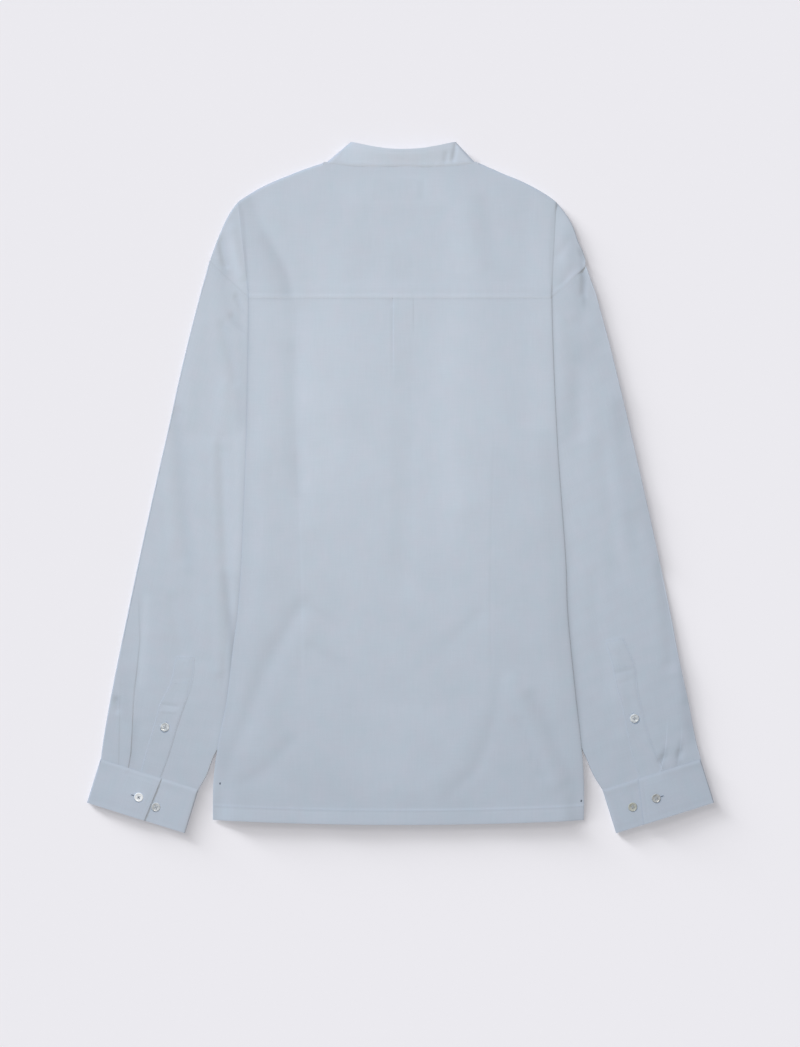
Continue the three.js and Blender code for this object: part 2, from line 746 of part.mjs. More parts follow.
function stripCurve(side) {
  return new THREE.CatmullRomCurve3(WRIST[side].strip.map(({ x, y }) => new THREE.Vector3(x, y, 0)));
}

// The slit runs up from the sleeve's end below the strip.
function slitCutter(side) {
  const curve = stripCurve(side);
  const [end, start] = [curve.getPointAt(1), curve.getPointAt(1 - SLIT_LENGTH / curve.getLength())];
  const way = end.clone().sub(start);
  const length = way.length() + CUFF_DEPTH;
  const height = 2 * SLEEVE_TOP;
  const box = new THREE.BoxGeometry(length, SLIT_WIDTH, height);
  box.rotateZ(Math.atan2(way.y, way.x));
  const mid = start.clone().addScaledVector(way.clone().normalize(), length / 2);
  box.translate(mid.x, mid.y, (SLEEVE_TOP + height) / 2);
  return solid(box);
}

// The strip over the slit, made from the sleeve's points moved out.
function makePlacket(side) {
  const curve = stripCurve(side);
  const steps = 12;
  const across = [-0.5, -0.25, 0, 0.25, 0.5];
  const points = [];
  for (let i = 0; i <= steps; i += 1) {
    const p = curve.getPointAt(i / steps);
    const way = curve.getTangentAt(i / steps);
    points.push(across.map((a) => {
      const width = PLACKET_WIDTH * lerp(PLACKET_TAPER, 1, i / steps);
      const x = p.x - way.y * a * width;
      const y = p.y + way.x * a * width;
      return new THREE.Vector3(x, y, sleeveHeight(side, x, y) + ON_SLEEVE);
    }));
  }
  return wall(points, CLOTH);
}

// Turns a cuff's own place (along its seam from the outer corner, and towards the hand) into a point.
function cuffPlace(side, along, down) {
  const s = SIDES[side];
  const [c, n] = [Math.cos(CUFF_TILT), Math.sin(CUFF_TILT)];
  return [s * (CUFF_CORNER.x - along * c + down * n), CUFF_CORNER.y - along * n - down * c];
}

const CUFF_UPPER = 2.5; // underside of the cuff's inner end, on its lower layer
const CUFF_LAP_UNDER = CUFF_UPPER + BAND + LAP;

function makeCuff(side) {
  const slit = WRIST[side].cuffSlit;
  const [low, mid, high] = [BAND / 2, CUFF_UPPER + BAND / 2, CUFF_LAP_UNDER + BAND / 2];
  const w = CUFF_WIDTH;
  const section = [
    { along: slit - 22, z: mid },
    { along: slit, z: mid },
    { along: slit + 13, z: mid },
    { along: w - 12, z: mid },
    { along: w - 3.2, z: mid },
    { along: w - 0.7, z: lerp(low, mid, 0.82) },
    { along: w, z: lerp(low, mid, 0.5) },
    { along: w - 0.7, z: lerp(low, mid, 0.18) },
    { along: w - 3.2, z: low },
    { along: w * 0.66, z: low },
    { along: w * 0.33, z: low },
    { along: 3.4, z: low },
    { along: 0.8, z: lerp(low, mid, 0.2) },
    { along: 0, z: lerp(low, mid, 0.6) },
    { along: 0.8, z: lerp(low, mid, 1.02) },
    { along: 3.4, z: mid + 0.45 },
    { along: (slit - 24) * 0.5, z: mid + 1.0 },
    { along: slit - 26, z: high },
    { along: slit - 12, z: high },
    { along: slit, z: high },
  ];
  const downs = [0, 2.5, CUFF_DEPTH / 2, CUFF_DEPTH - 2.5, CUFF_DEPTH];
  const points = downs.map((down) => section.map(({ along, z }) => {
    const [x, y] = cuffPlace(side, along, down);
    return new THREE.Vector3(x, y, z);
  }));
  return wall(points, BAND);
}

// A small round shirt button, dished, with a rim.
function makeButton({ x, y }, under) {
  const r = BUTTON_RADIUS;
  const t = BUTTON_THICK;
  const profile = [
    [0, 0],
    [r * 0.8, 0],
    [r, t * 0.45],
    [r * 0.94, t],
    [r * 0.74, t],
    [r * 0.6, t * 0.68],
    [0, t * 0.68],
  ].map(([px, pz]) => new THREE.Vector2(px, pz));
  const geometry = new THREE.LatheGeometry(profile, 18);
  geometry.rotateX(Math.PI / 2);
  geometry.translate(x, y, under);
  return geometry;
}

const LABEL = { left: -32, right: 25.5, top: 354, bottom: 332.5 };

// A bare label on the inner side of the yoke, made from the yoke's points moved in.
function makeLabel() {
  const { left, right, top, bottom } = LABEL;
  const xs = [left, -22, PLEAT.left, PLEAT.right, right];
  const ys = [top, lerp(top, bottom, 0.5), bottom];
  const under = CLOTH + LAP + ROOM;
  const points = ys.map((y) => xs.map((x) => new THREE.Vector3(x, y, yokeHeight(x, y, false) - under)));
  return wall(points, CLOTH);
}

const BAND_BUTTON_Y = 312.5;
const FRONT_BUTTONS = { count: 6, top: 245, spacing: 95 };

const shirting = { color: 0xb9c4d1, roughness: 0.9, metalness: 0 };
const pearl = { color: 0xe6e6e4, roughness: 0.25, metalness: 0 };
const labelCloth = { color: 0xdfe3ea, roughness: 0.8, metalness: 0 };

const shirt = new THREE.Group();

function add(name, geometry, look) {
  const mesh = new THREE.Mesh(geometry, new THREE.MeshStandardMaterial(look));
  mesh.name = name;
  mesh.geometry.computeVertexNormals();
  shirt.add(mesh);
}

add('back', makeBack(), shirting);
add('yoke', makeYoke(), shirting);
add('front_left', makeFront('left'), shirting);
add('front_right', makeFront('right'), shirting);
add('collar_band', makeBand(), shirting);
add('neck_label', makeLabel(), labelCloth);
for (const side of Object.keys(SIDES)) {
  const wrist = WRIST[side];
  add(`sleeve_${side}`, makeSleeve(side), shirting);
  add(`sleeve_placket_${side}`, makePlacket(side), shirting);
  add(`cuff_${side}`, makeCuff(side), shirting);
  const { x: stripX, y: stripY } = wrist.stripButton;
  const onStrip = sleeveHeight(side, stripX, stripY) + ON_SLEEVE + CLOTH / 2 + ROOM;
  add(`sleeve_placket_button_${side}`, makeButton(wrist.stripButton, onStrip), pearl);
  add(`cuff_button_fastened_${side}`, makeButton(wrist.fastened, CUFF_LAP_UNDER + BAND + LAP), pearl);
  add(`cuff_button_spare_${side}`, makeButton(wrist.spare, CUFF_UPPER + BAND + LAP), pearl);
}
add('band_button', makeButton({ x: 0, y: BAND_BUTTON_Y }, 0), pearl);
for (let i = 0; i < FRONT_BUTTONS.count; i += 1) {
  const y = FRONT_BUTTONS.top - FRONT_BUTTONS.spacing * i;
  add(`front_button_${i + 1}`, makeButton({ x: 0, y }, 0), pearl);
}

// The origin is the middle of the shirt's box, on the table.
const box = new THREE.Box3().setFromObject(shirt);
const middle = box.getCenter(new THREE.Vector3());
for (const mesh of shirt.children) {
  mesh.geometry.translate(-middle.x, -middle.y, -box.min.z);
}

export default shirt;
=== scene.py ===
"""A light blue mandarin collar shirt, laid flat with its back up, seen from straight above.

Sizes are in millimetres and are turned into metres where a mesh is made. +Y points to the collar,
and "left" is the wearer's left, which is also the left of the picture.
"""

import json
import math

import bpy
import numpy as np
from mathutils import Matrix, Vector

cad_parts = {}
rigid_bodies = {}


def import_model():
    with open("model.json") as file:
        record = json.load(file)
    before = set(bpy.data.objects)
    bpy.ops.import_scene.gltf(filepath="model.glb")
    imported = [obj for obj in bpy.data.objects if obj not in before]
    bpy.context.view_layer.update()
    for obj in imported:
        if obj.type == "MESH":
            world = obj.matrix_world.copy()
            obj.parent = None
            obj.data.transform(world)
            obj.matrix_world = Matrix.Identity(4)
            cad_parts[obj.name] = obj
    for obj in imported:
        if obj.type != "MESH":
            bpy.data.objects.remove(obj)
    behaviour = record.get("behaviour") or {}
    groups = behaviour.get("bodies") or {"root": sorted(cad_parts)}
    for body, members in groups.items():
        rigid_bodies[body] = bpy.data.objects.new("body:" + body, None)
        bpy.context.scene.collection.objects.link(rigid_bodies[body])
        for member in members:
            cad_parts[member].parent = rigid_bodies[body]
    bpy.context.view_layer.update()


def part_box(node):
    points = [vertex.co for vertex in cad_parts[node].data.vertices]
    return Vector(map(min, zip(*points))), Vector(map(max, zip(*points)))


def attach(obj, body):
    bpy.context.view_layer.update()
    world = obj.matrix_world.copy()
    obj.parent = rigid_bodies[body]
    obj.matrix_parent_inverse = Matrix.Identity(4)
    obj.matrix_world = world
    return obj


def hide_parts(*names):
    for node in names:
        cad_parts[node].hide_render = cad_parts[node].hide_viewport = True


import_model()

MM = 0.001
SIDES = {"left": -1, "right": 1}

# The drawing has the first front button at this height. The part is centred on its box instead.
FIRST_BUTTON_Y = 245
BUTTON_LOW, BUTTON_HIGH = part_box("front_button_1")
BUTTON_X, BUTTON_Y = ((BUTTON_LOW[k] + BUTTON_HIGH[k]) / 2 / MM for k in (0, 1))
OFFSET = np.array([BUTTON_X, BUTTON_Y - FIRST_BUTTON_Y, 0])

# Sizes of the part, as in its solids.
WALL = 1.0
BAND_WALL = 1.4
YOKE_SEAM_Y = 218.5
HEM_Y = -387.5
HEM_RISE = 5.5
HEM_DEPTH = 17
SLEEVE_TOP = 3.6
OVER_BUTTON = 2.55
CLOSING = 15
CUFF_WIDTH = 117.3
CUFF_DEPTH = 51.2
CUFF_TILT = math.atan2(35, 112)
CUFF_CORNER = (345.3, -313.2)
CUFF_UPPER = 2.5
BUTTON_RADIUS = 5.3
ROLL = 3.5  # width of the rounded fold along the sides of the body
ON_SLEEVE = SLEEVE_TOP - WALL / 2 - 0.1  # how much higher a front lies where a sleeve is below it

# Thickness of the shells: one layer of shirting, and a stitched band of several layers.
SHELL = 0.3
THICK_SHELL = 0.8
FINE_EDGE = 0.1  # thickness where one piece ends on another
CLEAR = 0.05  # gap between pieces that lie on each other
LAYER_GAP = 0.35  # the same gap in the solids
EDGE_GAP = 0.45  # gap between pieces that meet edge to edge
HEAD_GAP = 1.2  # gap between a sleeve's head and the armhole seam
SEAM_LAP = 1.7  # how far the yoke runs over the sleeve heads

# Heights of a sleeve's corners at the armhole and at the cuff, on its outer and its inner side.
OUTER_TOP, OUTER_END = 263, -313
INNER_TOP, INNER_END = 159, -348
SLEEVE_LENGTH = 640


def table(names, rows):
    columns = np.array(rows, float).T
    return dict(zip(names.split(), columns))


BODY_EDGE = table("y left right", [
    (329, 186.5, 182), (315, 181, 177), (269, 178, 174), (218, 175, 174), (147, 176, 176),
    (44, 178, 181), (-83, 183, 190), (-140, 187, 192), (-186, 193, 196), (-244, 200, 202),
    (-296, 210, 208), (-336, 215, 211), (-389, 216, 211),
])
OUTER_EDGE = table("y left right", [
    (374, 88, 89), (367, 110, 106), (360, 128, 122), (354, 143, 137), (345, 162, 155), (336, 177, 170),
    (329, 187, 179), (317, 196, 189), (308, 201, 195), (297, 206, 200), (285, 211, 204),
    (274, 215, 209), (260, 220, 214), (245, 224, 219), (228, 229, 225), (205, 235, 231),
    (170, 244, 240), (124, 255, 251), (78, 265, 262), (21, 278, 275), (-37, 291, 288), (-83, 301, 298),
    (-140, 313, 310), (-198, 325, 321), (-244, 334, 331), (-290, 342, 340), (-313, 345, 346),
])
INNER_EDGE = table("y left right", [
    (159, 83, 83), (40, 124, 123), (-83, 163, 161), (-200, 189, 187), (-250, 194, 192),
    (-285, 202, 201), (-309, 215, 213), (-330, 223, 222), (-348, 233, 233),
])
ARMHOLE = table("x y", [
    (83, 159), (130, 191), (178.5, 225), (184, 230), (193, 238), (203, 247), (213, 257), (224, 268),
])
FRONT_NECK = table("x y free_x free_y", [
    (0, 302, 0, 322.5), (20, 304, 18, 324), (45, 311, 32, 330), (70, 328, 50, 342),
    (83.5, 349, 58.5, 360),
])
BAND_SECTIONS = table("x y free_x free_y z lift", [
    (0, 371.2, 2, 389.6, 5.9, 3.4), (21, 370.7, 20, 390.6, 5.8, 3.4), (42, 370.9, 38, 393.4, 5.5, 3.2),
    (64, 372.2, 52, 396.4, 5.2, 2.6), (80, 374.0, 57.5, 397.6, 4.8, 2.0),
    (85.6, 374.2, 59.6, 397.7, 4.0, 1.6), (87.2, 373.6, 60.8, 396.8, 2.6, 1.2),
    (86.2, 369.4, 60.6, 393.0, 1.2, 0.6), (84.6, 361, 60, 382, 0.7, 0),
])
BAND_SHIFT = 3
DART = table("y left right", [
    (75, 121, 107.5), (44, 120, 107), (-92, 114.7, 103.6), (-232, 114, 104.5),
])
DART_TOP, DART_END = 78, -236
PLEAT_LEFT, PLEAT_RIGHT = -8, 14.5


def smooth(t):
    s = np.clip(t, 0, 1)
    return s * s * (3 - 2 * s)


def mix(a, b, t):
    return a + (b - a) * t


def read(tab, at, name, by="y"):
    """A table's column at some values of another column, on a smooth curve through its rows."""
    keys, values = tab[by], tab[name]
    if keys[0] > keys[-1]:
        keys, values = keys[::-1], values[::-1]
    at = np.clip(np.asarray(at, float), keys[0], keys[-1])
    i = np.clip(np.searchsorted(keys, at) - 1, 0, len(keys) - 2)
    before, after = np.maximum(i - 1, 0), np.minimum(i + 2, len(keys) - 1)
    span = keys[i + 1] - keys[i]
    t = (at - keys[i]) / span
    slope_a = (values[i + 1] - values[before]) / (keys[i + 1] - keys[before]) * span
    slope_b = (values[after] - values[i]) / (keys[after] - keys[i]) * span
    t2, t3 = t * t, t * t * t
    return (
        (2 * t3 - 3 * t2 + 1) * values[i]
        + (t3 - 2 * t2 + t) * slope_a
        + (3 * t2 - 2 * t3) * values[i + 1]
        + (t3 - t2) * slope_b
    )


def outer(side, y):
    return SIDES[side] * read(OUTER_EDGE, y, side)


def inner(side, y):
    return SIDES[side] * read(INNER_EDGE, y, side)


def body_edge(side, y):
    return SIDES[side] * read(BODY_EDGE, y, side)


def hem_y(x):
    return HEM_Y + HEM_RISE * np.minimum((np.asarray(x) / 213) ** 2, 1)


def armhole_y(x):
    return np.interp(np.abs(x), ARMHOLE["x"], ARMHOLE["y"])


def cosine(n):
    """n + 1 values from 0 to 1, close together at both ends."""
    return 0.5 - 0.5 * np.cos(np.pi * np.arange(n + 1) / n)


def joined(*stretches):
    """Lists of values end to end, each without the first value, which repeats the last one's end."""
    return np.concatenate([stretches[0]] + [s[1:] for s in stretches[1:]])


def bell(off, width):
    """1 where off is 0, and less the further off is from it."""
    return np.exp(-((off / width) ** 2))


def fade(far, reach):
    """1 up to an edge, and less beyond it."""
    return np.exp(-np.maximum(far, 0) / reach)


def steps_along(points):
    """How far each point of a line is along it."""
    return np.concatenate([[0], np.cumsum(np.linalg.norm(np.diff(points, axis=0), axis=1))])


def to_line(x, y, points):
    """Distance of each point from a line of points, the distance along it, and the side it is on."""
    points = np.asarray(points, float)
    best = np.full(np.shape(x), np.inf)
    along = np.zeros(np.shape(x))
    sign = np.ones(np.shape(x))
    start = 0.0
    for (ax, ay), (bx, by) in zip(points[:-1], points[1:]):
        length = math.hypot(bx - ax, by - ay)
        ux, uy = (bx - ax) / length, (by - ay) / length
        t = np.clip((x - ax) * ux + (y - ay) * uy, 0, length)
        d = np.hypot(x - ax - t * ux, y - ay - t * uy)
        nearer = d < best
        best = np.where(nearer, d, best)
        along = np.where(nearer, start + t, along)
        sign = np.where(nearer, np.where((x - ax) * uy - (y - ay) * ux > 0, 1.0, -1.0), sign)
        start += length
    return best, along, sign, start


def soft_fold(x, y, points, width, high):
    """A ridge, or a trough where high is below 0, along a line, fading out at its ends."""
    d, along, _, length = to_line(x, y, points)
    extra, reach = 0.3 * width, 2.0 * width
    ends = smooth((along + extra) / reach) * smooth((length + extra - along) / reach)
    return high * bell(d, width) * ends


def sleeve_outline(side):
    down, up = np.linspace(OUTER_TOP, OUTER_END, 15), np.linspace(INNER_END, INNER_TOP, 15)
    return np.concatenate([np.stack([outer(side, down), down], 1), np.stack([inner(side, up), up], 1)])


OUTLINES = [sleeve_outline(side) for side in SIDES]


def over_sleeve(x, y):
    """1 over a sleeve, falling to 0 beside it."""
    best = np.full(np.shape(x), np.inf)
    for outline in OUTLINES:
        inside = np.zeros(np.shape(x), bool)
        for (ax, ay), (bx, by) in zip(np.roll(outline, 1, 0), outline):
            crosses = (ay > y) != (by > y)
            inside ^= crosses & (x < (bx - ax) * (y - ay) / (by - ay + 1e-12) + ax)
        d = to_line(x, y, np.concatenate([outline[-1:], outline]))[0]
        best = np.minimum(best, np.where(inside, 0, d))
    return 1 - smooth((best - 15) / 30)


def over_closing(x, y):
    return (1 - smooth((np.abs(x) - 24) / 21)) * (1 - smooth((y - 326) / 24))


def unevenness(x, y, size, seed):
    """Slow, irregular rise and fall of cloth that has lain on a table, within about 1 either way."""
    total = 0
    for k in range(5):
        turn = 1.3 * seed + 2.1 * k
        wave = size * (0.7 + 0.37 * k)
        way = x * math.cos(turn) + y * math.sin(turn)
        total = total + np.sin(way * 2 * math.pi / wave + 3.7 * k + seed)
    return total / 3.2


def front_height(side, x, y):
    """Height of the middle of a front, which lies on the table, the sleeves and its hidden buttons."""
    lift = OVER_BUTTON if side == "left" else OVER_BUTTON + WALL + LAYER_GAP
    return lift * over_closing(x, y) + ON_SLEEVE * over_sleeve(x, y) + WALL / 2


# Creases: the points of each line, its width, and its height, or its depth where that is below 0.
BACK_TROUGHS = [
    (
        [(-108, -128), (-133, -168), (-155, -203), (-171, -244), (-181, -277), (-195, -304), (-204, -327)],
        10, -0.6,
    ),
    ([(-92, -130), (-114, -172), (-133, -214), (-149, -256), (-162, -300)], 13, 0.5),
    ([(-120, -283), (-131, -296), (-153, -319), (-172, -333), (-190, -340)], 8, -0.4),
    ([(144, -230), (163, -264), (181, -304), (199, -351)], 8, -1.0),
    ([(122, -212), (145, -262), (165, -310), (184, -352)], 9, 0.9),
    ([(131, -260), (152, -307), (166, -339)], 6, -0.8),
    ([(115, -215), (109, -262), (98, -300), (84, -328), (48, -361)], 8, -0.35),
    ([(92, -240), (80, -290), (60, -322), (25, -345)], 13, 0.4),
    ([(-104, -136), (-66, -163)], 6, -0.35),
    ([(-110, -179), (-66, -207)], 6, -0.3),
    ([(97, -136), (70, -165), (43, -190)], 8, -0.3),
    ([(-122, 214), (-121, 150), (-120, 80), (-114, -8)], 9, -0.45),
    ([(-100, 205), (-102, 60), (-98, -65)], 16, 0.9),
    ([(52, 205), (60, 60), (66, -85)], 20, 0.8),
    ([(8, 165), (8, 60), (6, -20), (3, -130)], 12, -0.5),
    ([(-158, -20), (-150, -100), (-140, -150)], 14, 0.6),
]
YOKE_TROUGHS = [
    ([(-176, 340), (-157, 285), (-140, 259), (-131, 235), (-128, 216)], 10, -0.6),
    ([(-158, 340), (-141, 292), (-122, 262), (-113, 228)], 12, 0.5),
    ([(91, 342), (96, 300), (100, 260)], 13, -0.35),
    ([(66, 344), (72, 300), (76, 255)], 16, 0.6),
    ([(-50, 350), (-56, 290), (-60, 235)], 16, 0.5),
    ([(150, 345), (146, 300), (150, 240)], 14, -0.2),
]
SHOULDER_END_FOLDS = [
    ([(-209, 288), (-206, 277), (-204, 266), (-199, 251)], 3.5, -1.4),
    ([(-213, 283), (-211, 270), (-207, 258)], 4, 0.7),
    ([(-196, 306), (-189, 268), (-180, 236)], 6, 1.2),
    ([(197, 289), (188, 276), (178, 262)], 5, -0.5),
    ([(201, 259), (192, 243), (183, 228)], 5, -0.5),
    ([(206, 273), (212, 264), (216, 259)], 3, -1.2),
]
SLEEVE_FOLDS = {
    "left": [
        ([(-262, 96), (-259, 66), (-254, 0), (-248, -92)], 9, -1.1),
        ([(-206, 66), (-203, -20), (-200, -92), (-198, -129), (-196, -180), (-199, -235)], 6, -0.9),
        ([(-230, 60), (-226, -40), (-224, -130), (-226, -200)], 11, 0.7),
        ([(-216, 60), (-214, -40), (-211, -130), (-210, -220)], 6, 0.6),
        ([(-207, 196), (-202, 170), (-196, 150), (-188, 115)], 6, -1.2),
        ([(-203, 130), (-206, 80), (-204, 40)], 8, 0.8),
        ([(-191, 224), (-184, 208), (-176, 195)], 3.5, -1.3),
        ([(-198, 202), (-188, 187), (-175, 175)], 4, -1.3),
        ([(-231, 205), (-243, 120), (-250, 60)], 12, 0.8),
        ([(-328, -239), (-325, -261)], 4, -1.0),
        ([(-274, -150), (-282, -240), (-292, -300)], 12, 0.6),
        ([(-264, -120), (-256, -170), (-248, -200)], 7, -0.7),
    ],
    "right": [
        ([(300, -80), (306, -129), (310, -168), (313, -215)], 9, -1.1),
        ([(316, -110), (321, -180), (326, -250)], 7, 0.7),
        ([(207, 262), (211, 241), (210, 218)], 3.5, -1.5),
        ([(304, -305), (298, -320)], 4, -1.0),
        ([(322, -299), (320, -314)], 3.5, -1.0),
        ([(240, 120), (256, 40), (268, -40)], 12, 0.8),
        ([(196, 200), (203, 130), (208, 50)], 10, -0.9),
        ([(230, 60), (243, -30), (252, -110)], 10, -0.7),
        ([(222, -90), (228, -170), (238, -240)], 8, -0.4),
        ([(246, -170), (252, -230), (262, -300)], 9, 0.5),
    ],
}
# Painted shade in the creases, and painted light and shade over broader patches: each line from top to
# bottom, how far it reaches to the left and to the right of the line, and its depth, which lightens
# where it is above 0.
BODY_SHADES = [
    ([(-180, 350), (-174, 330), (-157, 285), (-140, 259), (-131, 235), (-128, 212)], 24, 5, -0.055),
    ([(-160, 300), (-147, 272), (-133, 246), (-128, 214)], 10, 5, -0.045),
    ([(91, 345), (97, 300), (101, 245)], 12, 10, -0.04),
    ([(-124, 228), (-123, 150)], 14, 6, -0.018),
    ([(-126, 175), (-127, 90), (-119, -14)], 14, 7, -0.042),
    ([(-121, 46), (-118, 10), (-117, -20)], 5, 3, -0.02),
    ([(-104, -116), (-129, -150), (-156, -198), (-173, -241), (-185, -274), (-207, -330)], 10, 7, -0.038),
    ([(-120, -280), (-133, -296), (-154, -319), (-172, -332), (-192, -340)], 7, 7, -0.035),
    ([(144, -232), (163, -264), (181, -304), (202, -358)], 5, 9, -0.045),
    ([(134, -262), (152, -307), (168, -345)], 4, 7, -0.03),
    ([(113, -205), (106, -262), (94, -300), (80, -326), (40, -364)], 7, 7, -0.02),
    ([(-204, -230), (-209, -280), (-212, -315)], 8, 9, -0.025),
    ([(14, 180), (14, 110), (12, 40)], 9, 8, -0.014),
    ([(-110, -128), (-85, -150), (-62, -168)], 6, 6, -0.014),
    ([(-112, -174), (-85, -192), (-58, -212)], 7, 7, -0.016),
    ([(99, -130), (72, -160), (40, -192)], 8, 8, -0.018),
    ([(158, 346), (174, 330)], 9, 9, -0.04),
    ([(-14, 222), (-12, 205), (-8, 190)], 5, 6, -0.02),
    ([(-206, -335), (-211, -388)], 12, 12, 0.03),
    ([(201, -335), (207, -388)], 15, 15, 0.04),
    ([(-175, -270), (-180, -310)], 20, 20, 0.025),
    ([(-5, -245), (-5, -355)], 60, 60, 0.028),
    ([(-92, 190), (-94, 80), (-92, -10)], 28, 28, 0.022),
    ([(62, 190), (62, 80), (62, -30)], 28, 28, 0.02),
    ([(163, 345), (164, 250), (164, 60)], 16, 14, 0.045),
    ([(0, 366), (0, 320)], 60, 60, 0.035),
    ([(72, 335), (80, 240)], 18, 18, 0.028),
]
# The same for the sleeves and the shoulder ends on each side: painted shade and painted light.
LOW_SHADES = {
    "left": [
        ([(-210, 292), (-207, 272), (-204, 254), (-198, 238)], 4, 6, -0.075),
        ([(-196, 292), (-192, 265), (-186, 246), (-181, 230)], 6, 6, 0.055),
        ([(-209, 262), (-202, 215), (-192, 178)], 7, 7, -0.035),
        ([(-190, 208), (-184, 182), (-181, 120), (-184, 70)], 6, 6, -0.035),
        ([(-192, 226), (-184, 208), (-175, 193)], 3, 2, -0.05),
        ([(-200, 204), (-188, 187), (-174, 174)], 3, 2, -0.05),
        ([(-206, 195), (-196, 150), (-188, 115), (-184, 60)], 5, 9, -0.04),
        ([(-204, 135), (-202, 100), (-201, 70)], 5, 4, 0.015),
        ([(-211, 66), (-208, -10), (-204, -92)], 5, 4, -0.015),
        ([(-204, -90), (-200, -129), (-195, -170), (-192, -215), (-197, -248)], 5, 5, -0.085),
        ([(-198, -138), (-194, -180), (-193, -222)], 6, 5, -0.05),
        ([(-293, -118), (-295, -155), (-298, -200), (-301, -236)], 3, 7, 0.06),
        ([(-331, -232), (-327, -243), (-324, -256)], 4, 4, -0.07),
        ([(-316, -205), (-317, -240), (-316, -275)], 6, 6, -0.035),
        ([(-340, -290), (-345, -318)], 14, 14, 0.035),
        ([(-189, 66), (-189, -20), (-188, -105)], 5, 5, 0.03),
        ([(-262, 104), (-255, 40), (-249, -40), (-244, -104)], 7, 9, -0.055),
        ([(-271, 70), (-268, 0), (-264, -66)], 6, 6, 0.02),
        ([(-306, -262), (-309, -290), (-312, -324)], 0.8, 6, -0.07),
    ],
    "right": [
        ([(206, 268), (211, 241), (211, 205)], 2.5, 3, -0.12),
        ([(217, 262), (209, 270), (199, 284)], 2.5, 2.5, -0.06),
        ([(184, 318), (184, 285), (183, 250)], 8, 8, 0.05),
        ([(240, 160), (243, 100), (250, 50)], 14, 14, -0.03),
        ([(238, 215), (230, 185), (210, 145), (199, 112), (189, 75), (185, 45)], 12, 12, -0.05),
        ([(194, 302), (199, 270), (204, 240), (205, 200), (205, 165), (204, 138)], 8, 8, -0.055),
        ([(211, 248), (213, 238), (212, 226)], 3, 3, -0.06),
        ([(212, 262), (216, 225), (214, 200)], 10, 8, -0.035),
        ([(203, 278), (212, 264), (219, 256)], 3, 2, -0.05),
        ([(248, 110), (252, 40), (266, -75)], 10, 10, -0.055),
        ([(272, 20), (292, -60), (316, -170), (336, -300)], 9, 16, -0.06),
        ([(310, -120), (322, -200), (336, -290)], 7, 10, -0.04),
        ([(306, -293), (303, -308), (298, -330)], 3.5, 3.5, -0.14),
        ([(324, -286), (321, -302), (317, -326)], 3.5, 3.5, -0.13),
        ([(262, -254), (270, -250), (277, -256)], 3, 3, -0.04),
    ],
}
# Depth of the shade along the body's side folds, and how far it reaches from them over the sleeves.
FOLD_SHADE = table("y left right reach", [
    (335, 0.06, 0.26, 0.7), (300, 0.06, 0.26, 0.7), (276, 0.13, 0.25, 0.8), (226, 0.14, 0.20, 1.0),
    (150, 0.12, 0.17, 1.2), (44, 0.11, 0.17, 1.2), (-14, 0.12, 0.19, 1.6), (-129, 0.14, 0.27, 2.3),
    (-244, 0.10, 0.30, 2.4), (-320, 0.02, 0.14, 1.6), (-390, 0.0, 0.0, 1.5),
])
# Pleats that the cuffs hold: cloth to the outer side of each line lies over the cloth beside it.
SLEEVE_PLEATS = {
    "left": {
        "inner": [
            (-302, -110), (-300, -175), (-303.4, -209), (-306, -232),
            (-307.6, -252), (-310.3, -304), (-313, -320),
        ],
        "outer": [(-319, -175), (-322.6, -218), (-323.2, -244), (-324.5, -318)],
    },
    "right": {
        "inner": [(308, -255), (306, -290), (304, -307), (300, -322)],
        "outer": [(324, -262), (323, -290), (322, -301), (320, -318)],
    },
}
PLEAT_HEIGHT = {"left": (0.6, 0.3), "right": (0.3, 0.25)}


def crease_sum(x, y, folds):
    total = np.zeros(np.shape(x))
    for points, width, high in folds:
        total += soft_fold(x, y, points, width, high)
    return total


def shade_sum(x, y, shades):
    total = np.zeros(np.shape(x))
    for points, left, right, depth in shades:
        d, along, sign, length = to_line(x, y, points)
        reach = np.where(sign > 0, left, right)
        ends = smooth((along + 3) / 16) * smooth((length + 3 - along) / 16)
        total += depth * ends * bell(d, reach)
    return total


def fold_shade(x, y):
    """Depth and reach of the side folds' shade at each height."""
    ys = FOLD_SHADE["y"][::-1]
    left, right, reach = (np.interp(y, ys, FOLD_SHADE[name][::-1]) for name in ("left", "right", "reach"))
    return np.where(x < 0, left, right), reach


def from_side(x, y):
    """How far a point is inside the body's side folds."""
    return np.where(x < 0, -body_edge("left", y), body_edge("right", y)) - np.abs(x)


def low_shade(x, y):
    """Shade on the sleeves and the shoulder ends, beside the body's folds and in their creases."""
    beside = -from_side(x, y)
    folds = np.where(x < 0, shade_sum(x, y, LOW_SHADES["left"]), shade_sum(x, y, LOW_SHADES["right"]))
    depth, reach = fold_shade(x, y)
    return folds - depth * fade(beside - 0.3, reach)


def high_shade(x, y):
    """Shade on the body's top layer."""
    below = np.where(x < 0, smooth((250 - y) / 90), smooth((170 - y) / 200))
    near = fade(from_side(x, y), 3.5) * below
    rim = (x < 0) * fade(from_side(x, y), 1.4) * smooth((y - 20) / 80)
    rim = rim * (1 - 0.5 * smooth((y - 270) / 30))
    along_fold = np.where(x < 0, 0.5, 0.2) * fold_shade(x, y)[0] * near
    return shade_sum(x, y, BODY_SHADES) - along_fold - 0.14 * rim


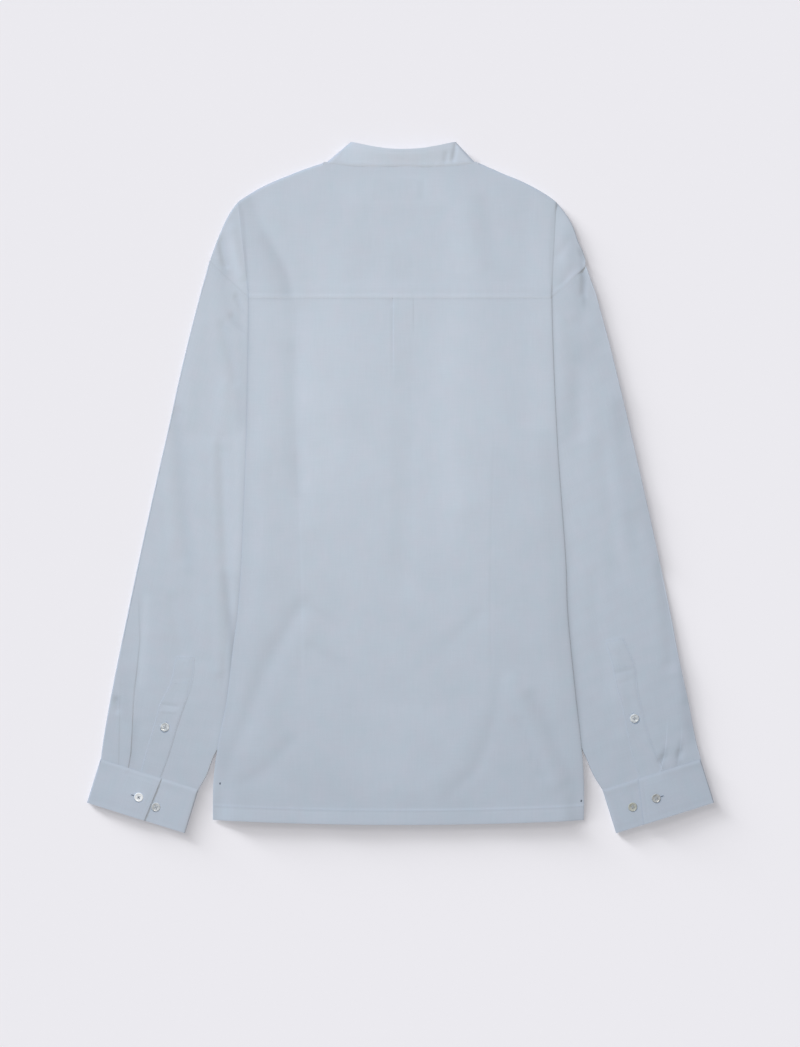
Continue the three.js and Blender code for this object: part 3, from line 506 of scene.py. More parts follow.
def body_top(x, y):
    """Height of the middle of the body's top layer, which rolls down over the fronts at its sides."""
    inside = np.maximum(from_side(x, y), 0)
    sleeve = over_sleeve(x, y)
    taut = 5.4 - 0.3 * smooth((y - 335) / 36)
    low = np.maximum(ON_SLEEVE * sleeve, np.where(y > YOKE_SEAM_Y - 12, ON_SLEEVE, 0)) + WALL / 2 + 0.4
    loose = crease_sum(x, y, BACK_TROUGHS)
    loose = loose + 0.35 * unevenness(x, y, 95, 1) + 0.06 * unevenness(x, y, 31, 4)
    flat = mix(low + 0.3, taut, smooth(inside / 26)) - 0.3 * fade(inside, 3.5)
    roll = 1 - np.sqrt(1 - (1 - np.minimum(inside / ROLL, 1)) ** 2)
    return flat + loose * smooth(inside / 26) - 0.4 * roll


def to_dart(side, x, y):
    """Distance to a dart's seam, and how much of the dart there is at each height."""
    along = smooth((DART_TOP - y) / 60) * smooth((y - DART_END) / 50)
    return x - SIDES[side] * read(DART, y, side), along


def dart_relief(x, y):
    total = np.zeros(np.shape(x))
    for side in SIDES:
        off, along = to_dart(side, x, y)
        total -= 0.05 * along * bell(off, 0.9)
        total += 0.16 * along * smooth((off * SIDES[side] * -1 + 1.5) / 5) * bell(off, 30)
    return total


def pleat_relief(x, y):
    """A narrow box pleat below the yoke: crisp along its left fold, faint along its right one."""
    down = YOKE_SEAM_Y - y
    left_share = 1 - smooth((down - 40) / 68)
    right_share = 1 - smooth((down - 12) / 44)
    left = smooth((x - PLEAT_LEFT + 0.5) / 0.8) * bell(np.maximum(x - PLEAT_LEFT, 0), 26)
    right = smooth((PLEAT_RIGHT - x + 0.5) / 0.8) * bell(np.maximum(PLEAT_RIGHT - x, 0), 26)
    crevice = -0.25 * left_share * bell(x - PLEAT_LEFT + 0.9, 0.6)
    crevice -= 0.1 * right_share * bell(x - PLEAT_RIGHT - 0.9, 0.6)
    wedge = -0.5 * soft_fold(x, y, [(-13, 219), (-9.5, 206)], 4, 1.0)
    return 0.3 * left_share * left + 0.15 * right_share * right * (x > 3) + crevice + wedge


def add_object(name, data):
    thing = bpy.data.objects.new(name, data)
    bpy.context.scene.collection.objects.link(thing)
    return thing


def smooth_mesh(name, vertices, faces):
    mesh = bpy.data.meshes.new(name)
    mesh.from_pydata(vertices.tolist(), [], faces)
    mesh.polygons.foreach_set("use_smooth", np.ones(len(mesh.polygons), bool))
    return mesh


def grid_normals(points, closed):
    wrapped = np.concatenate([points[:, -1:], points, points[:, :1]], 1) if closed else points
    across = np.gradient(wrapped, axis=1)
    if closed:
        across = across[:, 1:-1]
    normal = np.cross(np.gradient(points, axis=0), across)
    return normal / np.maximum(np.linalg.norm(normal, axis=2, keepdims=True), 1e-9)


def shell_faces(rows, cols, closed, keep):
    """Faces of both sides of a grid and of its rim, and the rim's edges."""
    keep = np.ones((rows - 1, cols if closed else cols - 1), bool) if keep is None else keep
    total = rows * cols
    number = np.arange(total).reshape(rows, cols)
    ring = np.concatenate([number, number[:, :1]], 1) if closed else number
    a, b = ring[:-1, :-1][keep], ring[:-1, 1:][keep]
    c, d = ring[1:, 1:][keep], ring[1:, :-1][keep]
    top = np.stack([a, b, c, d], 1)
    edges = np.concatenate([top[:, [0, 1]], top[:, [1, 2]], top[:, [2, 3]], top[:, [3, 0]]])
    _, first, counts = np.unique(np.sort(edges, 1), axis=0, return_index=True, return_counts=True)
    rim = edges[first[counts == 1]]
    side = np.stack([rim[:, 1], rim[:, 0], rim[:, 0] + total, rim[:, 1] + total], 1)
    return np.concatenate([top, top[:, ::-1] + total, side]), rim


def grid_object(name, points, thick, closed=False, keep=None, cut=None, tone=None):
    """A thin closed shell on a grid of points, which are the middle of its thickness, in millimetres.

    keep leaves cells out. cut gives each point's place on the flat cloth, for the weave, and tone a
    little lightness or darkness: deeper colour where cloth is doubled, and painted shade and painted
    light along seams, creases and folds.
    """
    rows, cols = points.shape[:2]
    total = rows * cols
    half = grid_normals(points, closed) * np.broadcast_to(thick, (rows, cols))[..., None] / 2
    faces, rim = shell_faces(rows, cols, closed, keep)
    flat = points.reshape(-1, 3)
    half = half.reshape(-1, 3)
    vertices = (np.concatenate([flat + half, flat - half]) + OFFSET) * MM
    used, faces = np.unique(faces, return_inverse=True)
    faces = faces.reshape(-1, 4)
    vertices = vertices[used]
    p = vertices[faces]
    volume = np.einsum("ij,ij->i", p[:, 0], np.cross(p[:, 1], p[:, 2])).sum()
    volume += np.einsum("ij,ij->i", p[:, 0], np.cross(p[:, 2], p[:, 3])).sum()
    if volume < 0:
        faces = faces[:, ::-1]
    mesh = smooth_mesh(name, vertices, faces.tolist())
    ends = np.zeros(len(mesh.edges) * 2, int)
    mesh.edges.foreach_get("vertices", ends)
    ends = ends.reshape(-1, 2)
    both_rims = np.concatenate([rim, rim + total])
    rim_keys = set(map(tuple, np.sort(np.searchsorted(used, both_rims), 1).tolist()))
    sharp = np.array([tuple(e) in rim_keys for e in np.sort(ends, 1).tolist()])
    mesh.attributes.new("sharp_edge", "BOOLEAN", "EDGE").data.foreach_set("value", sharp)
    loops = np.zeros(len(mesh.loops), int)
    mesh.loops.foreach_get("vertex_index", loops)
    cut = points[..., :2] if cut is None else cut
    flat_cut = np.concatenate([cut.reshape(-1, 2)] * 2)[used] * MM
    mesh.uv_layers.new(name="cut").data.foreach_set("uv", flat_cut[loops].ravel())
    values = np.zeros(rows * cols) if tone is None else tone.reshape(-1)
    tones = np.concatenate([values] * 2)[used]
    mesh.attributes.new("tone", "FLOAT", "POINT").data.foreach_set("value", tones)
    mesh.validate()
    mesh.update()
    return add_object(name, mesh)


# Back.
BACK_COUNTS = [26, 34, 14, 30, 26]  # columns between the sides, the darts and the pleat
BACK_TOP = 7  # depth of the close rows below the yoke's seam
HEM_ROWS = 16
HEM_EXTRA = 0.3  # how much thicker the turned hem is


def back_columns(y):
    """x of each column of the back at height y. Columns crowd along the darts and the pleat."""
    lines = [
        body_edge("left", y),
        -read(DART, y, "left"),
        np.full(np.shape(y), float(PLEAT_LEFT)),
        np.full(np.shape(y), float(PLEAT_RIGHT)),
        read(DART, y, "right"),
        body_edge("right", y),
    ]
    parts = []
    for k, n in enumerate(BACK_COUNTS):
        share = cosine(n) if k == 0 else cosine(n)[1:]
        parts.append(lines[k][..., None] + (lines[k + 1] - lines[k])[..., None] * share)
    return np.concatenate(parts, -1)


def make_back():
    hem_x = back_columns(np.array(HEM_Y))
    length = YOKE_SEAM_Y - hem_y(hem_x)
    upper = np.array([-8, -5, -2, 0, 1, 2.5, 4.5, BACK_TOP])
    hem = HEM_DEPTH - HEM_DEPTH * cosine(HEM_ROWS)[1:]
    middle = np.linspace(0, 1, 172)[1:]
    rows = [np.full(len(hem_x), d) for d in upper]
    rows += [BACK_TOP + (length - HEM_DEPTH - BACK_TOP) * t for t in middle]
    rows += [length - h for h in hem]
    y = YOKE_SEAM_Y - np.stack(rows)
    index = np.arange(len(hem_x))
    x = np.stack([back_columns(y[:, j])[:, j] for j in index], 1)
    from_hem = y - hem_y(x)
    relief = dart_relief(x, y) + pleat_relief(x, y)
    turned = smooth((HEM_DEPTH + 0.3 - from_hem) / 0.9)
    stitched = bell(from_hem - HEM_DEPTH + 2.2, 0.8)
    edge = fade(from_hem, 1.2)
    pucker = 0.05 * np.sin(x / 1.9 + 1.5 * np.sin(x / 23)) * bell(from_hem - 14, 6)
    wave = 0.25 * unevenness(x, y, 120, 7) * smooth((60 - from_hem) / 50)
    z = body_top(x, y) + relief + 0.05 * turned - 0.08 * stitched - 0.2 * edge + pucker + wave
    # Painted shade along the edge of the turned hem, stronger to the left.
    hem_edge_shade = 0.012 + 0.03 * (1 - smooth((x + 60) / 100))
    tone = -hem_edge_shade * bell(from_hem - HEM_DEPTH - 0.4, 1.1) - 0.01 * stitched
    tone += layers_and_painted_light(x, y) + crevice_shade(x, y) + high_shade(x, y)
    # Painted light over the turned hem, stronger to the left.
    tone += (0.03 + 0.02 * smooth((-60 - x) / 60)) * smooth((HEM_DEPTH - 1 - from_hem) / 3)
    # Painted shadow just below the yoke's lapped edge.
    below = YOKE_SEAM_Y - y
    tone -= 0.028 * smooth((158 - x) / 16) * (below > -1) * bell(below - 1.2, 1.7)
    points = np.stack([x, y, z], 2)
    thick = SHELL + HEM_EXTRA * turned
    return grid_object("shirt_back", points, thick, tone=tone), points


def crevice_shade(x, y):
    """Painted shade in the crevices of the darts and the pleat."""
    total = np.zeros(np.shape(x))
    for side in SIDES:
        off, along = to_dart(side, x, y)
        total -= 0.005 * along * bell(off, 1.1)
        total -= 0.016 * along * smooth((off * SIDES[side] + 1) / 6)
    down = YOKE_SEAM_Y - y
    below = down > -1
    total -= 0.035 * below * (1 - smooth((down - 45) / 60)) * bell(x - PLEAT_LEFT + 0.8, 0.9)
    total -= 0.012 * below * (1 - smooth((down - 15) / 40)) * bell(x - PLEAT_RIGHT - 0.7, 1.0)
    return total


def layers_and_painted_light(x, y):
    """The thin cloth is deeper in colour over the fronts' doubled edges, and two broad bands beside them
    have painted light.
    """
    closing = smooth((15 - np.abs(x - 0.6)) / 5) * smooth((300 - y) / 40) * smooth((y + 150) / 120)
    lit_bands = bell(x + 88, 22) + bell(x - 62, 22)
    lit_bands *= smooth((y + 110) / 120) * smooth((330 - y) / 60)
    return -0.012 * closing + 0.02 * lit_bands


# Yoke.
SHOULDER_COLUMNS = 43  # columns that end on the shoulder fold, on each side
HEAD_COLUMNS = 25  # columns that end on the sleeve head, on each side
SIDE_COLUMNS = SHOULDER_COLUMNS + HEAD_COLUMNS
NECK_HALF = 97  # half the width of the columns below the collar band, at the yoke's seam
BAND_HALF = 88.3  # and at the collar band
TURN_DEPTH = 3.4  # depth of the rounded turn along the shoulder
ALONG_HEAD = 1.7  # how much the columns on the sleeve head crowd to the body
UNDER_ROWS, TURN_ROWS = 8, 10  # rows on the fronts' side, and round the shoulder
WRAP_ROWS = UNDER_ROWS + TURN_ROWS
YOKE_STITCH = 4.6  # how far the stitches are above the yoke's seam


def along_curve(x, y, n, crowd=1.0):
    """n + 1 points along a curve, at equal distances where crowd is 1, closer at its start above 1."""
    steps = steps_along(np.stack([x, y], 1))
    at = steps[-1] * np.linspace(0, 1, n + 1) ** crowd
    return np.interp(at, steps, x), np.interp(at, steps, y)


def yoke_columns():
    """Top and bottom ends of the yoke's columns, from the left armhole to the right one."""
    half = {}
    for side, s in SIDES.items():
        ys = np.linspace(375.0, 329, 200)
        top_x, top_y = along_curve(outer(side, ys) + 0.8 * s * (ys > 370), ys, SHOULDER_COLUMNS - 1)
        seam_end = abs(float(body_edge(side, YOKE_SEAM_Y))) - 0.4
        bottom_x = s * mix(NECK_HALF, seam_end, np.linspace(0, 1, SHOULDER_COLUMNS))
        bottom_y = np.full(SHOULDER_COLUMNS, YOKE_SEAM_Y)
        ys = np.linspace(328.5, 264, 200)
        end_x, end_y = along_curve(outer(side, ys), ys, HEAD_COLUMNS - 1, ALONG_HEAD)
        first_x = abs(float(body_edge(side, 222))) + 0.3
        seam_x = np.concatenate([[first_x], ARMHOLE["x"][2:]])
        seam_y = np.concatenate([[armhole_y(first_x)], ARMHOLE["y"][2:]])
        seam_x, seam_y = along_curve(seam_x, seam_y, 60)
        stop = np.searchsorted(seam_x, abs(float(outer(side, 259))) - HEAD_GAP)
        seam_x, seam_y = along_curve(seam_x[:stop], seam_y[:stop], HEAD_COLUMNS - 1, ALONG_HEAD)
        bottom_x = np.concatenate([bottom_x, s * seam_x])
        bottom_y = np.concatenate([bottom_y, seam_y - SEAM_LAP])
        turned = np.linspace(25, 30, SHOULDER_COLUMNS)
        half[side] = {
            "top": np.stack([np.concatenate([top_x, end_x]), np.concatenate([top_y, end_y])], 1),
            "bottom": np.stack([bottom_x, bottom_y], 1),
            "turned": np.concatenate([turned, np.full(HEAD_COLUMNS, np.nan)]),
            "low": np.arange(SIDE_COLUMNS) >= SHOULDER_COLUMNS,
        }
    x = np.concatenate([
        mix(-NECK_HALF, PLEAT_LEFT, cosine(28)[1:-1]),
        mix(PLEAT_LEFT, PLEAT_RIGHT, cosine(12)),
        mix(PLEAT_RIGHT, NECK_HALF, cosine(28)[1:-1]),
    ])
    neck_x = x * (BAND_HALF / NECK_HALF)
    neck_y = read(BAND_SECTIONS, np.minimum(np.abs(neck_x), 85.6), "y", by="x") - 0.8
    neck_y += 3.3 * (1 - smooth((np.abs(neck_x) - 60) / 22)) + 1.6 * smooth((np.abs(neck_x) - 74) / 12)
    neck = {
        "top": np.stack([neck_x, neck_y], 1),
        "bottom": np.stack([x, np.full(len(x), YOKE_SEAM_Y)], 1),
        "turned": np.full(len(x), 0.0),
        "low": np.zeros(len(x), bool),
    }
    columns = {}
    for key in neck:
        columns[key] = np.concatenate([half["left"][key][::-1], neck[key], half["right"][key]])
    index = np.arange(len(columns["low"]))
    columns["neck"] = (index >= SIDE_COLUMNS) & (index < SIDE_COLUMNS + len(x))
    return columns


def yoke_thickness(x, y, low):
    to_seam = y - armhole_y(x) + SEAM_LAP
    from_edge = np.where(low, to_seam, y - YOKE_SEAM_Y)
    return mix(FINE_EDGE, SHELL, smooth(from_edge / 1.6))


def yoke_height(x, y, low):
    """Height of the middle of the yoke's top layer, which laps over the back and ends on it."""
    above = np.maximum(y - YOKE_SEAM_Y, 0)
    lapped = SHELL / 2 + CLEAR + yoke_thickness(x, y, low) / 2
    lapped = lapped + 0.06 * smooth(above / 3) - 0.05 * bell(above - YOKE_STITCH, 0.7)
    in_pleat = smooth((x - PLEAT_LEFT + 1) / 3) - smooth((x - PLEAT_RIGHT + 2) / 3)
    over_pleat = 0.3 * in_pleat * fade(above, 12)
    high = body_top(x, y) + crease_sum(x, y, YOKE_TROUGHS)
    high = high + (lapped + over_pleat) * (1 - smooth((above - 9) / 14))
    to_seam = y - armhole_y(x) + SEAM_LAP
    over_head = (SHELL / 2 + CLEAR + FINE_EDGE / 2) * (1 - smooth((to_seam - 2) / 6))
    under = SLEEVE_TOP - WALL / 2 + crease_sum(x, y, SHOULDER_END_FOLDS) + over_head
    return np.where(low, under, high)


def make_yoke():
    columns = yoke_columns()
    top, bottom = columns["top"], columns["bottom"]
    way = bottom - top
    length = np.linalg.norm(way, axis=1)
    way = way / length[:, None]
    squeeze = np.minimum(1, length / 24)
    from_top = np.where(columns["neck"], 0, TURN_DEPTH * squeeze)
    turned = np.where(np.isnan(columns["turned"]), length, columns["turned"])
    distances, ups = [], []
    for t in np.linspace(0, 1, UNDER_ROWS + 1)[:-1]:
        distances.append(mix(turned, from_top, t))
        ups.append(0.0)
    for angle in np.linspace(-90, 90, TURN_ROWS + 1)[:-1]:
        distances.append(TURN_DEPTH * squeeze * (1 - math.cos(math.radians(angle))))
        ups.append((1 + math.sin(math.radians(angle))) / 2)
    share = joined(np.linspace(0, 0.9, 52), mix(0.9, 1, cosine(16)))
    for t in share:
        distances.append(mix(from_top, length, t))
        ups.append(1.0)
    distance = np.stack(distances)
    x = top[:, 0] + way[:, 0] * distance
    y = top[:, 1] + way[:, 1] * distance
    up = np.array(ups)[:, None]
    low = np.broadcast_to(columns["low"], x.shape)
    z = mix(WALL / 2, yoke_height(x, y, low), up)
    shown = up > 0.5
    shade = np.where(low, low_shade(x, y), high_shade(x, y))
    tone = np.where(shown, layers_and_painted_light(x, y) + label_tone(x, y) + shade, 0)
    # Painted highlights on the stitched ridge above the yoke's seam and along its lapped edge.
    seam_highlight_share = shown * ~low * smooth((158 - x) / 16)
    tone = tone + 0.045 * seam_highlight_share * bell(y - YOKE_SEAM_Y - 4.0, 1.7)
    tone = tone + 0.07 * shown * ~low * bell(y - YOKE_SEAM_Y - 0.9, 1.0)
    points = np.stack([x, y, z], 2)
    keep = np.ones((points.shape[0] - 1, points.shape[1] - 1), bool)
    in_neck = columns["neck"][:-1] | columns["neck"][1:]
    keep[:WRAP_ROWS, in_neck] = False
    thick = np.where(shown, yoke_thickness(x, y, low), SHELL)
    return grid_object("shirt_yoke", points, thick, keep=keep, tone=tone), points


LABEL_BOX = (-32, 25.5, 332.5, 354)


def label_tone(x, y):
    """The bare label inside shows faintly through the yoke, with its turned end at the right."""
    x0, x1, y0, y1 = LABEL_BOX
    inside = 1.0
    for far in (x - x0, x1 - x, y - y0, y1 - y):
        inside = inside * smooth(far / 1.5)
    dx = np.minimum(np.abs(x - x0), np.abs(x - x1))
    dy = np.minimum(np.abs(y - y0), np.abs(y - y1))
    near = np.where((x > x0 - 2) & (x < x1 + 2) & (y > y0 - 2) & (y < y1 + 2), np.minimum(dx, dy), 9)
    end = inside * smooth((x - x1 + 8) / 1.5)
    return -0.018 * inside - 0.022 * end - 0.02 * bell(near, 1.1)


# Fronts, which lie on the table under the back.
def make_front(side):
    s = SIDES[side]
    columns = yoke_columns()
    first = len(columns["low"]) - SIDE_COLUMNS
    order = np.arange(SHOULDER_COLUMNS)
    rows = SIDE_COLUMNS - 1 - order if side == "left" else first + order
    top, bottom, turned = (columns[name][rows] for name in ("top", "bottom", "turned"))
    way = (bottom - top) / np.linalg.norm(bottom - top, axis=1)[:, None]
    seam = (top + way * (turned + 0.5)[:, None])[3::2]
    neck_x = joined(np.linspace(-CLOSING, 0, 7), np.linspace(0, 83.5, 34))
    neck = np.stack([s * neck_x, read(FRONT_NECK, np.abs(neck_x), "y", by="x") - 0.9], 1)
    tops = np.concatenate([neck, seam])
    edge_top = abs(tops[-1, 0])
    t = joined(np.linspace(0, 0.1, 12), np.linspace(0.1, 0.97, 90), np.linspace(0.97, 1, 5))[:, None]
    y = mix(tops[None, :, 1], hem_y(tops[None, :, 0]) + 1.5, t)
    edge = np.abs(body_edge(side, y)) - 5 - 2 * smooth((y - 150) / 60)
    x = mix(tops[None, :, 0], tops[None, :, 0] / edge_top * edge, smooth(t / 0.2))
    z = front_height(side, x, y)
    near_hem = y - hem_y(x) - 1.5
    z = z + 0.3 * smooth((HEM_DEPTH - near_hem) / 0.8) * smooth((np.abs(x) - 20) / 20)
    points = np.stack([x, y, z], 2)
    return grid_object(f"shirt_front_{side}", points, SHELL), points


# Collar band.
def band_rows():
    """The band's sections from its left front end round the back to its right front end."""

    def front(s, closing):
        out = []
        for x, y, fx, fy in zip(*FRONT_NECK.values()):
            out.append((s * x, y + 0.2, s * fx, fy, closing if x < 24 else BAND_WALL / 2, 0, 0))
        return out

    def back(s):
        out = []
        for x, y, fx, fy, z, lift in zip(*BAND_SECTIONS.values()):
            on_back = z > BAND_WALL
            out.append((s * x, y - 1.2 * on_back, s * fx + BAND_SHIFT * on_back, fy, z, lift, z > 4.5))
        return out

    under = OVER_BUTTON + THICK_SHELL / 2 + 0.05
    over = under + THICK_SHELL + 0.1
    rows = [(CLOSING - 2, 303.4, CLOSING - 3, 323.5, under, 0, 0)] + front(-1, under)
    rows += back(-1)[::-1] + back(1)[1:] + front(1, over)[::-1]
    rows += [(-CLOSING + 2, 303.4, -CLOSING + 3, 323.5, over, 0, 0)]
    return np.array(rows, float)


PER_SPAN = 8  # steps between two rows of the band's and the cuffs' sections


def through(rows, per_span):
    """Rows of a table, filled in on a smooth curve with per_span steps between them."""
    count = len(rows)
    out = []
    for i in range(count - 1):
        p0, p1 = rows[max(i - 1, 0)], rows[i]
        p2, p3 = rows[i + 1], rows[min(i + 2, count - 1)]
        for k in range(per_span):
            t = k / per_span
            second = 2 * p0 - 5 * p1 + 4 * p2 - p3
            third = 3 * p1 - p0 - 3 * p2 + p3
            out.append(0.5 * (2 * p1 + (p2 - p0) * t + second * t * t + third * t ** 3))
    out.append(rows[-1])
    return np.array(out)


BAND_FOLDS = [
    ([(64, 397), (62, 386), (60, 374)], 2.2, -1.2),
    ([(53, 388), (51, 372)], 2.0, -1.0),
    ([(38.5, 378), (38.5, 369)], 1.4, -0.5),
    ([(-62, 392), (-70, 378)], 3.0, -0.4),
]
# Painted shade in the band's creases: each line, its reach to the left and to the right, and its depth.
BAND_SHADES = [
    ([(65, 398), (62, 386), (59, 372)], 3, 2, -0.10),
    ([(54, 390), (51, 371)], 2, 2, -0.09),
]


def make_band():
    rows = through(band_rows(), PER_SPAN)
    up = cosine(16)[:, None]
    x = mix(rows[:, 0], rows[:, 2], up)
    y = mix(rows[:, 1], rows[:, 3], up)
    back = np.clip(rows[:, 6], 0, 1)
    height = np.hypot(rows[:, 2] - rows[:, 0], rows[:, 3] - rows[:, 1])
    from_base, from_free = up * height, (1 - up) * height
    thick = mix(THICK_SHELL, mix(FINE_EDGE, THICK_SHELL, smooth(from_base / 2.2)), back)
    on_yoke = body_top(x, y) + SHELL / 2 + CLEAR + thick / 2
    base = mix(rows[:, 4], on_yoke, back)
    z = mix(base, rows[:, 4] + rows[:, 5], smooth(up))
    stitched = bell(from_base - 2.6, 0.7) + bell(from_free - 2.6, 0.7)
    z = z - 0.1 * stitched * back
    z = z + back * (crease_sum(x, y, BAND_FOLDS) + 0.2 * unevenness(x, y, 38, 3))
    # Painted shade along the band's base on the yoke. The band is painted lighter than the yoke, less
    # towards its left end, with a painted highlight near its free edge, and painted shade in its creases.
    tone = back * (-0.012 * stitched - 0.02 * fade(from_base, 0.8))
    light = 0.11 - 0.05 * smooth((-50 - x) / 20)
    light = light + 0.02 * smooth((from_free - 1) / 4) * smooth((8 - from_free) / 6)
    tone = tone + back * (shade_sum(x, y, BAND_SHADES) + light)
    points = np.stack([x, y, z], 2)
    return grid_object("shirt_collar_band", points, thick, tone=tone), points


# Sleeves.
def sleeve_point(side, t, across):
    outer_y = mix(OUTER_TOP - HEAD_GAP, OUTER_END + EDGE_GAP, t)
    inner_y = mix(INNER_TOP, INNER_END + EDGE_GAP, t)
    x = mix(outer(side, outer_y), inner(side, inner_y), across)
    y = mix(outer_y, inner_y, across)
    head_x = mix(abs(outer(side, OUTER_TOP - HEAD_GAP)), abs(inner(side, INNER_TOP)), across)
    head_y = mix(OUTER_TOP - HEAD_GAP, INNER_TOP, across)
    return x, y + (armhole_y(head_x) - 1.0 - head_y) * (1 - smooth(t / 0.25))


def sleeve_place(side, points):
    """Where points on the table lie on a sleeve: shares of its length and of its width."""
    t, across = np.meshgrid(np.linspace(0, 1, 240), np.linspace(0, 1, 120), indexing="ij")
    x, y = sleeve_point(side, t, across)
    out = []
    for px, py in points:
        k = np.argmin((x - px) ** 2 + (y - py) ** 2)
        out.append((t.flat[k], across.flat[k]))
    return np.array(sorted(out))


def sleeve_height(side, x, y):
    """Height of the middle of a sleeve's upper layer."""
    clear = smooth((np.abs(x) - np.abs(body_edge(side, y)) - 1) / 10)
    turn = -SIDES[side]
    loose = crease_sum(x, y, SLEEVE_FOLDS[side])
    for name, height in zip(("inner", "outer"), PLEAT_HEIGHT[side]):
        d, along, sign, length = to_line(x, y, SLEEVE_PLEATS[side][name])
        share = height * smooth(along / (0.8 * length))
        lower = smooth((-turn * sign * d + 0.4) / 0.8)
        loose = loose + share * (0.55 * (1 - lower) * bell(d, 9) - 0.45 * lower * bell(d, 7))
    loose = loose + 0.3 * unevenness(x, y, 80, 2 + turn) + 0.1 * unevenness(x, y, 27, 5 + turn)
    return SLEEVE_TOP - WALL / 2 + loose * clear


WALL_SHADE = 0.3  # painted light on the walls that face away from the light
HEAD_GROOVE = {"left": 0.1, "right": 0.02}  # depth of the stitched line beside the armhole seam
HEAD_SHADE = {"left": 0.07, "right": 0.02}  # shade along the armhole seam
SLEEVE_COUNTS = [12, 12, 48, 8]  # columns between its outer fold, the pleats, the body and its inner fold
LOWER_COUNT = 27  # columns of the layer on the table
SLEEVE_ROLL = 1.5  # width of the rounded folds along a sleeve
STITCH_LINE = 7  # how far the stitched line is from the armhole seam
PLEAT_FOLD_SHADE = {"left": {"inner": -0.07, "outer": -0.015}, "right": {}}  # painted shade along the pleats' folds


def upper_columns(side, t, fold):
    """Shares of the sleeve's width, at each share t of its length, of the columns of its upper layer."""
    guides = [sleeve_place(side, SLEEVE_PLEATS[side][name]) for name in ("outer", "inner")]
    outer_guide, inner_guide = (np.interp(t, g[:, 0], g[:, 1]) for g in guides)
    trial = np.linspace(0, 1, 200)
    trial_x, trial_y = sleeve_point(side, t[:, None], trial[None, :])
    beside = np.abs(trial_x) - np.abs(body_edge(side, trial_y))
    body_guide = np.array([np.interp(0, row[::-1], trial[::-1]) for row in beside])
    body_guide = np.clip(body_guide, inner_guide + 0.05, 1 - fold - 0.04)
    lines = [fold, outer_guide, inner_guide, body_guide, 1 - fold]
    parts = []
    for k, n in enumerate(SLEEVE_COUNTS):
        share = cosine(n) if k < 3 else np.linspace(0, 1, n + 1)
        share = share if k == 0 else share[1:]
        parts.append(lines[k][:, None] + (lines[k + 1] - lines[k])[:, None] * share)
    return np.concatenate(parts, 1)


def make_sleeve(side):
    t = joined(np.linspace(0, 0.7, 130), np.linspace(0.7, 1, 100))
    width = np.hypot(*np.subtract(sleeve_point(side, t, 0.0), sleeve_point(side, t, 1.0)))
    fold = SLEEVE_ROLL / width
    upper = upper_columns(side, t, fold)
    lower = mix(1 - fold[:, None], fold[:, None], np.linspace(0, 1, LOWER_COUNT))
    angles = np.radians(np.linspace(90, -90, 9)[1:-1])
    turn = fold[:, None] * (1 - np.cos(angles))
    across = np.concatenate([upper, 1 - turn, lower, turn], 1)
    rise = (1 + np.sin(angles)) / 2
    up = np.concatenate([np.ones(upper.shape[1]), rise, np.zeros(LOWER_COUNT), rise[::-1]])
    tt = np.broadcast_to(t[:, None], across.shape)
    x, y = sleeve_point(side, tt, across)
    z = mix(WALL / 2, sleeve_height(side, x, y), up)
    from_seam = armhole_y(x) - y
    shown = up > 0.5
    z = z - HEAD_GROOVE[side] * shown * bell(from_seam - STITCH_LINE, 1.0)
    # Painted shade along the stitched line and along the armhole seam.
    tone = -0.02 * bell(from_seam - STITCH_LINE, 1.2) - HEAD_SHADE[side] * bell(from_seam, 2.0)
    tone = shown * (tone + low_shade(x, y))
    # Painted light on the rounded walls of the fold that faces away from the light.
    first = upper.shape[1] if side == "left" else across.shape[1] - len(angles)
    tone[:, first:first + len(angles)] += WALL_SHADE
    # Painted shade along the pleats' folds.
    for name, depth in PLEAT_FOLD_SHADE[side].items():
        d, along = to_line(x, y, SLEEVE_PLEATS[side][name])[:2]
        pleat_shade_share = smooth(along / 40) * (1 - 0.85 * bell(y + 250, 24))
        tone = tone + shown * depth * pleat_shade_share * bell(d, 0.9)
    points = np.stack([x, y, z], 2)
    cut = np.stack([across * width[:, None], tt * SLEEVE_LENGTH], 2)
    return grid_object(f"shirt_sleeve_{side}", points, SHELL, closed=True, cut=cut, tone=tone), points


# Strips over the sleeve slits: their edges from top to bottom, the seam of the box at the top, the
# folds across them, and the depth of the shade at their outer and inner edges.
STRIPS = {
    "left": {
        "outer": [
            (-259, -194), (-265, -223), (-278, -250), (-282, -265),
            (-287, -282), (-292, -299), (-300, -329),
        ],
        "inner": [
            (-237, -194), (-238.8, -221), (-248.8, -252), (-254.4, -268),
            (-260.8, -289), (-266.8, -309), (-277, -336),
        ],
        "box_down": 26,
        "folds": [([(-276, -249), (-254, -252)], 2.0, -0.3), ([(-278, -256), (-256, -258)], 2.5, 0.3)],
        "shade": (0.01, 0.09),
    },
    "right": {
        "outer": [
            (256, -171), (270, -203), (273, -228), (278, -252),
            (286.5, -284), (296, -309), (303.5, -328),
        ],
        "inner": [
            (235, -176), (243, -203), (248, -228), (254, -250),
            (260, -279), (265.5, -305), (275.5, -337),
        ],
        "box_down": 30,
        "folds": [([(244, -214), (270, -208)], 3.0, -0.2), ([(247, -227), (270, -219)], 3.0, -0.12)],
        "shade": (0.0, 0.03),
    },
}
STRIP_THICK = 0.4


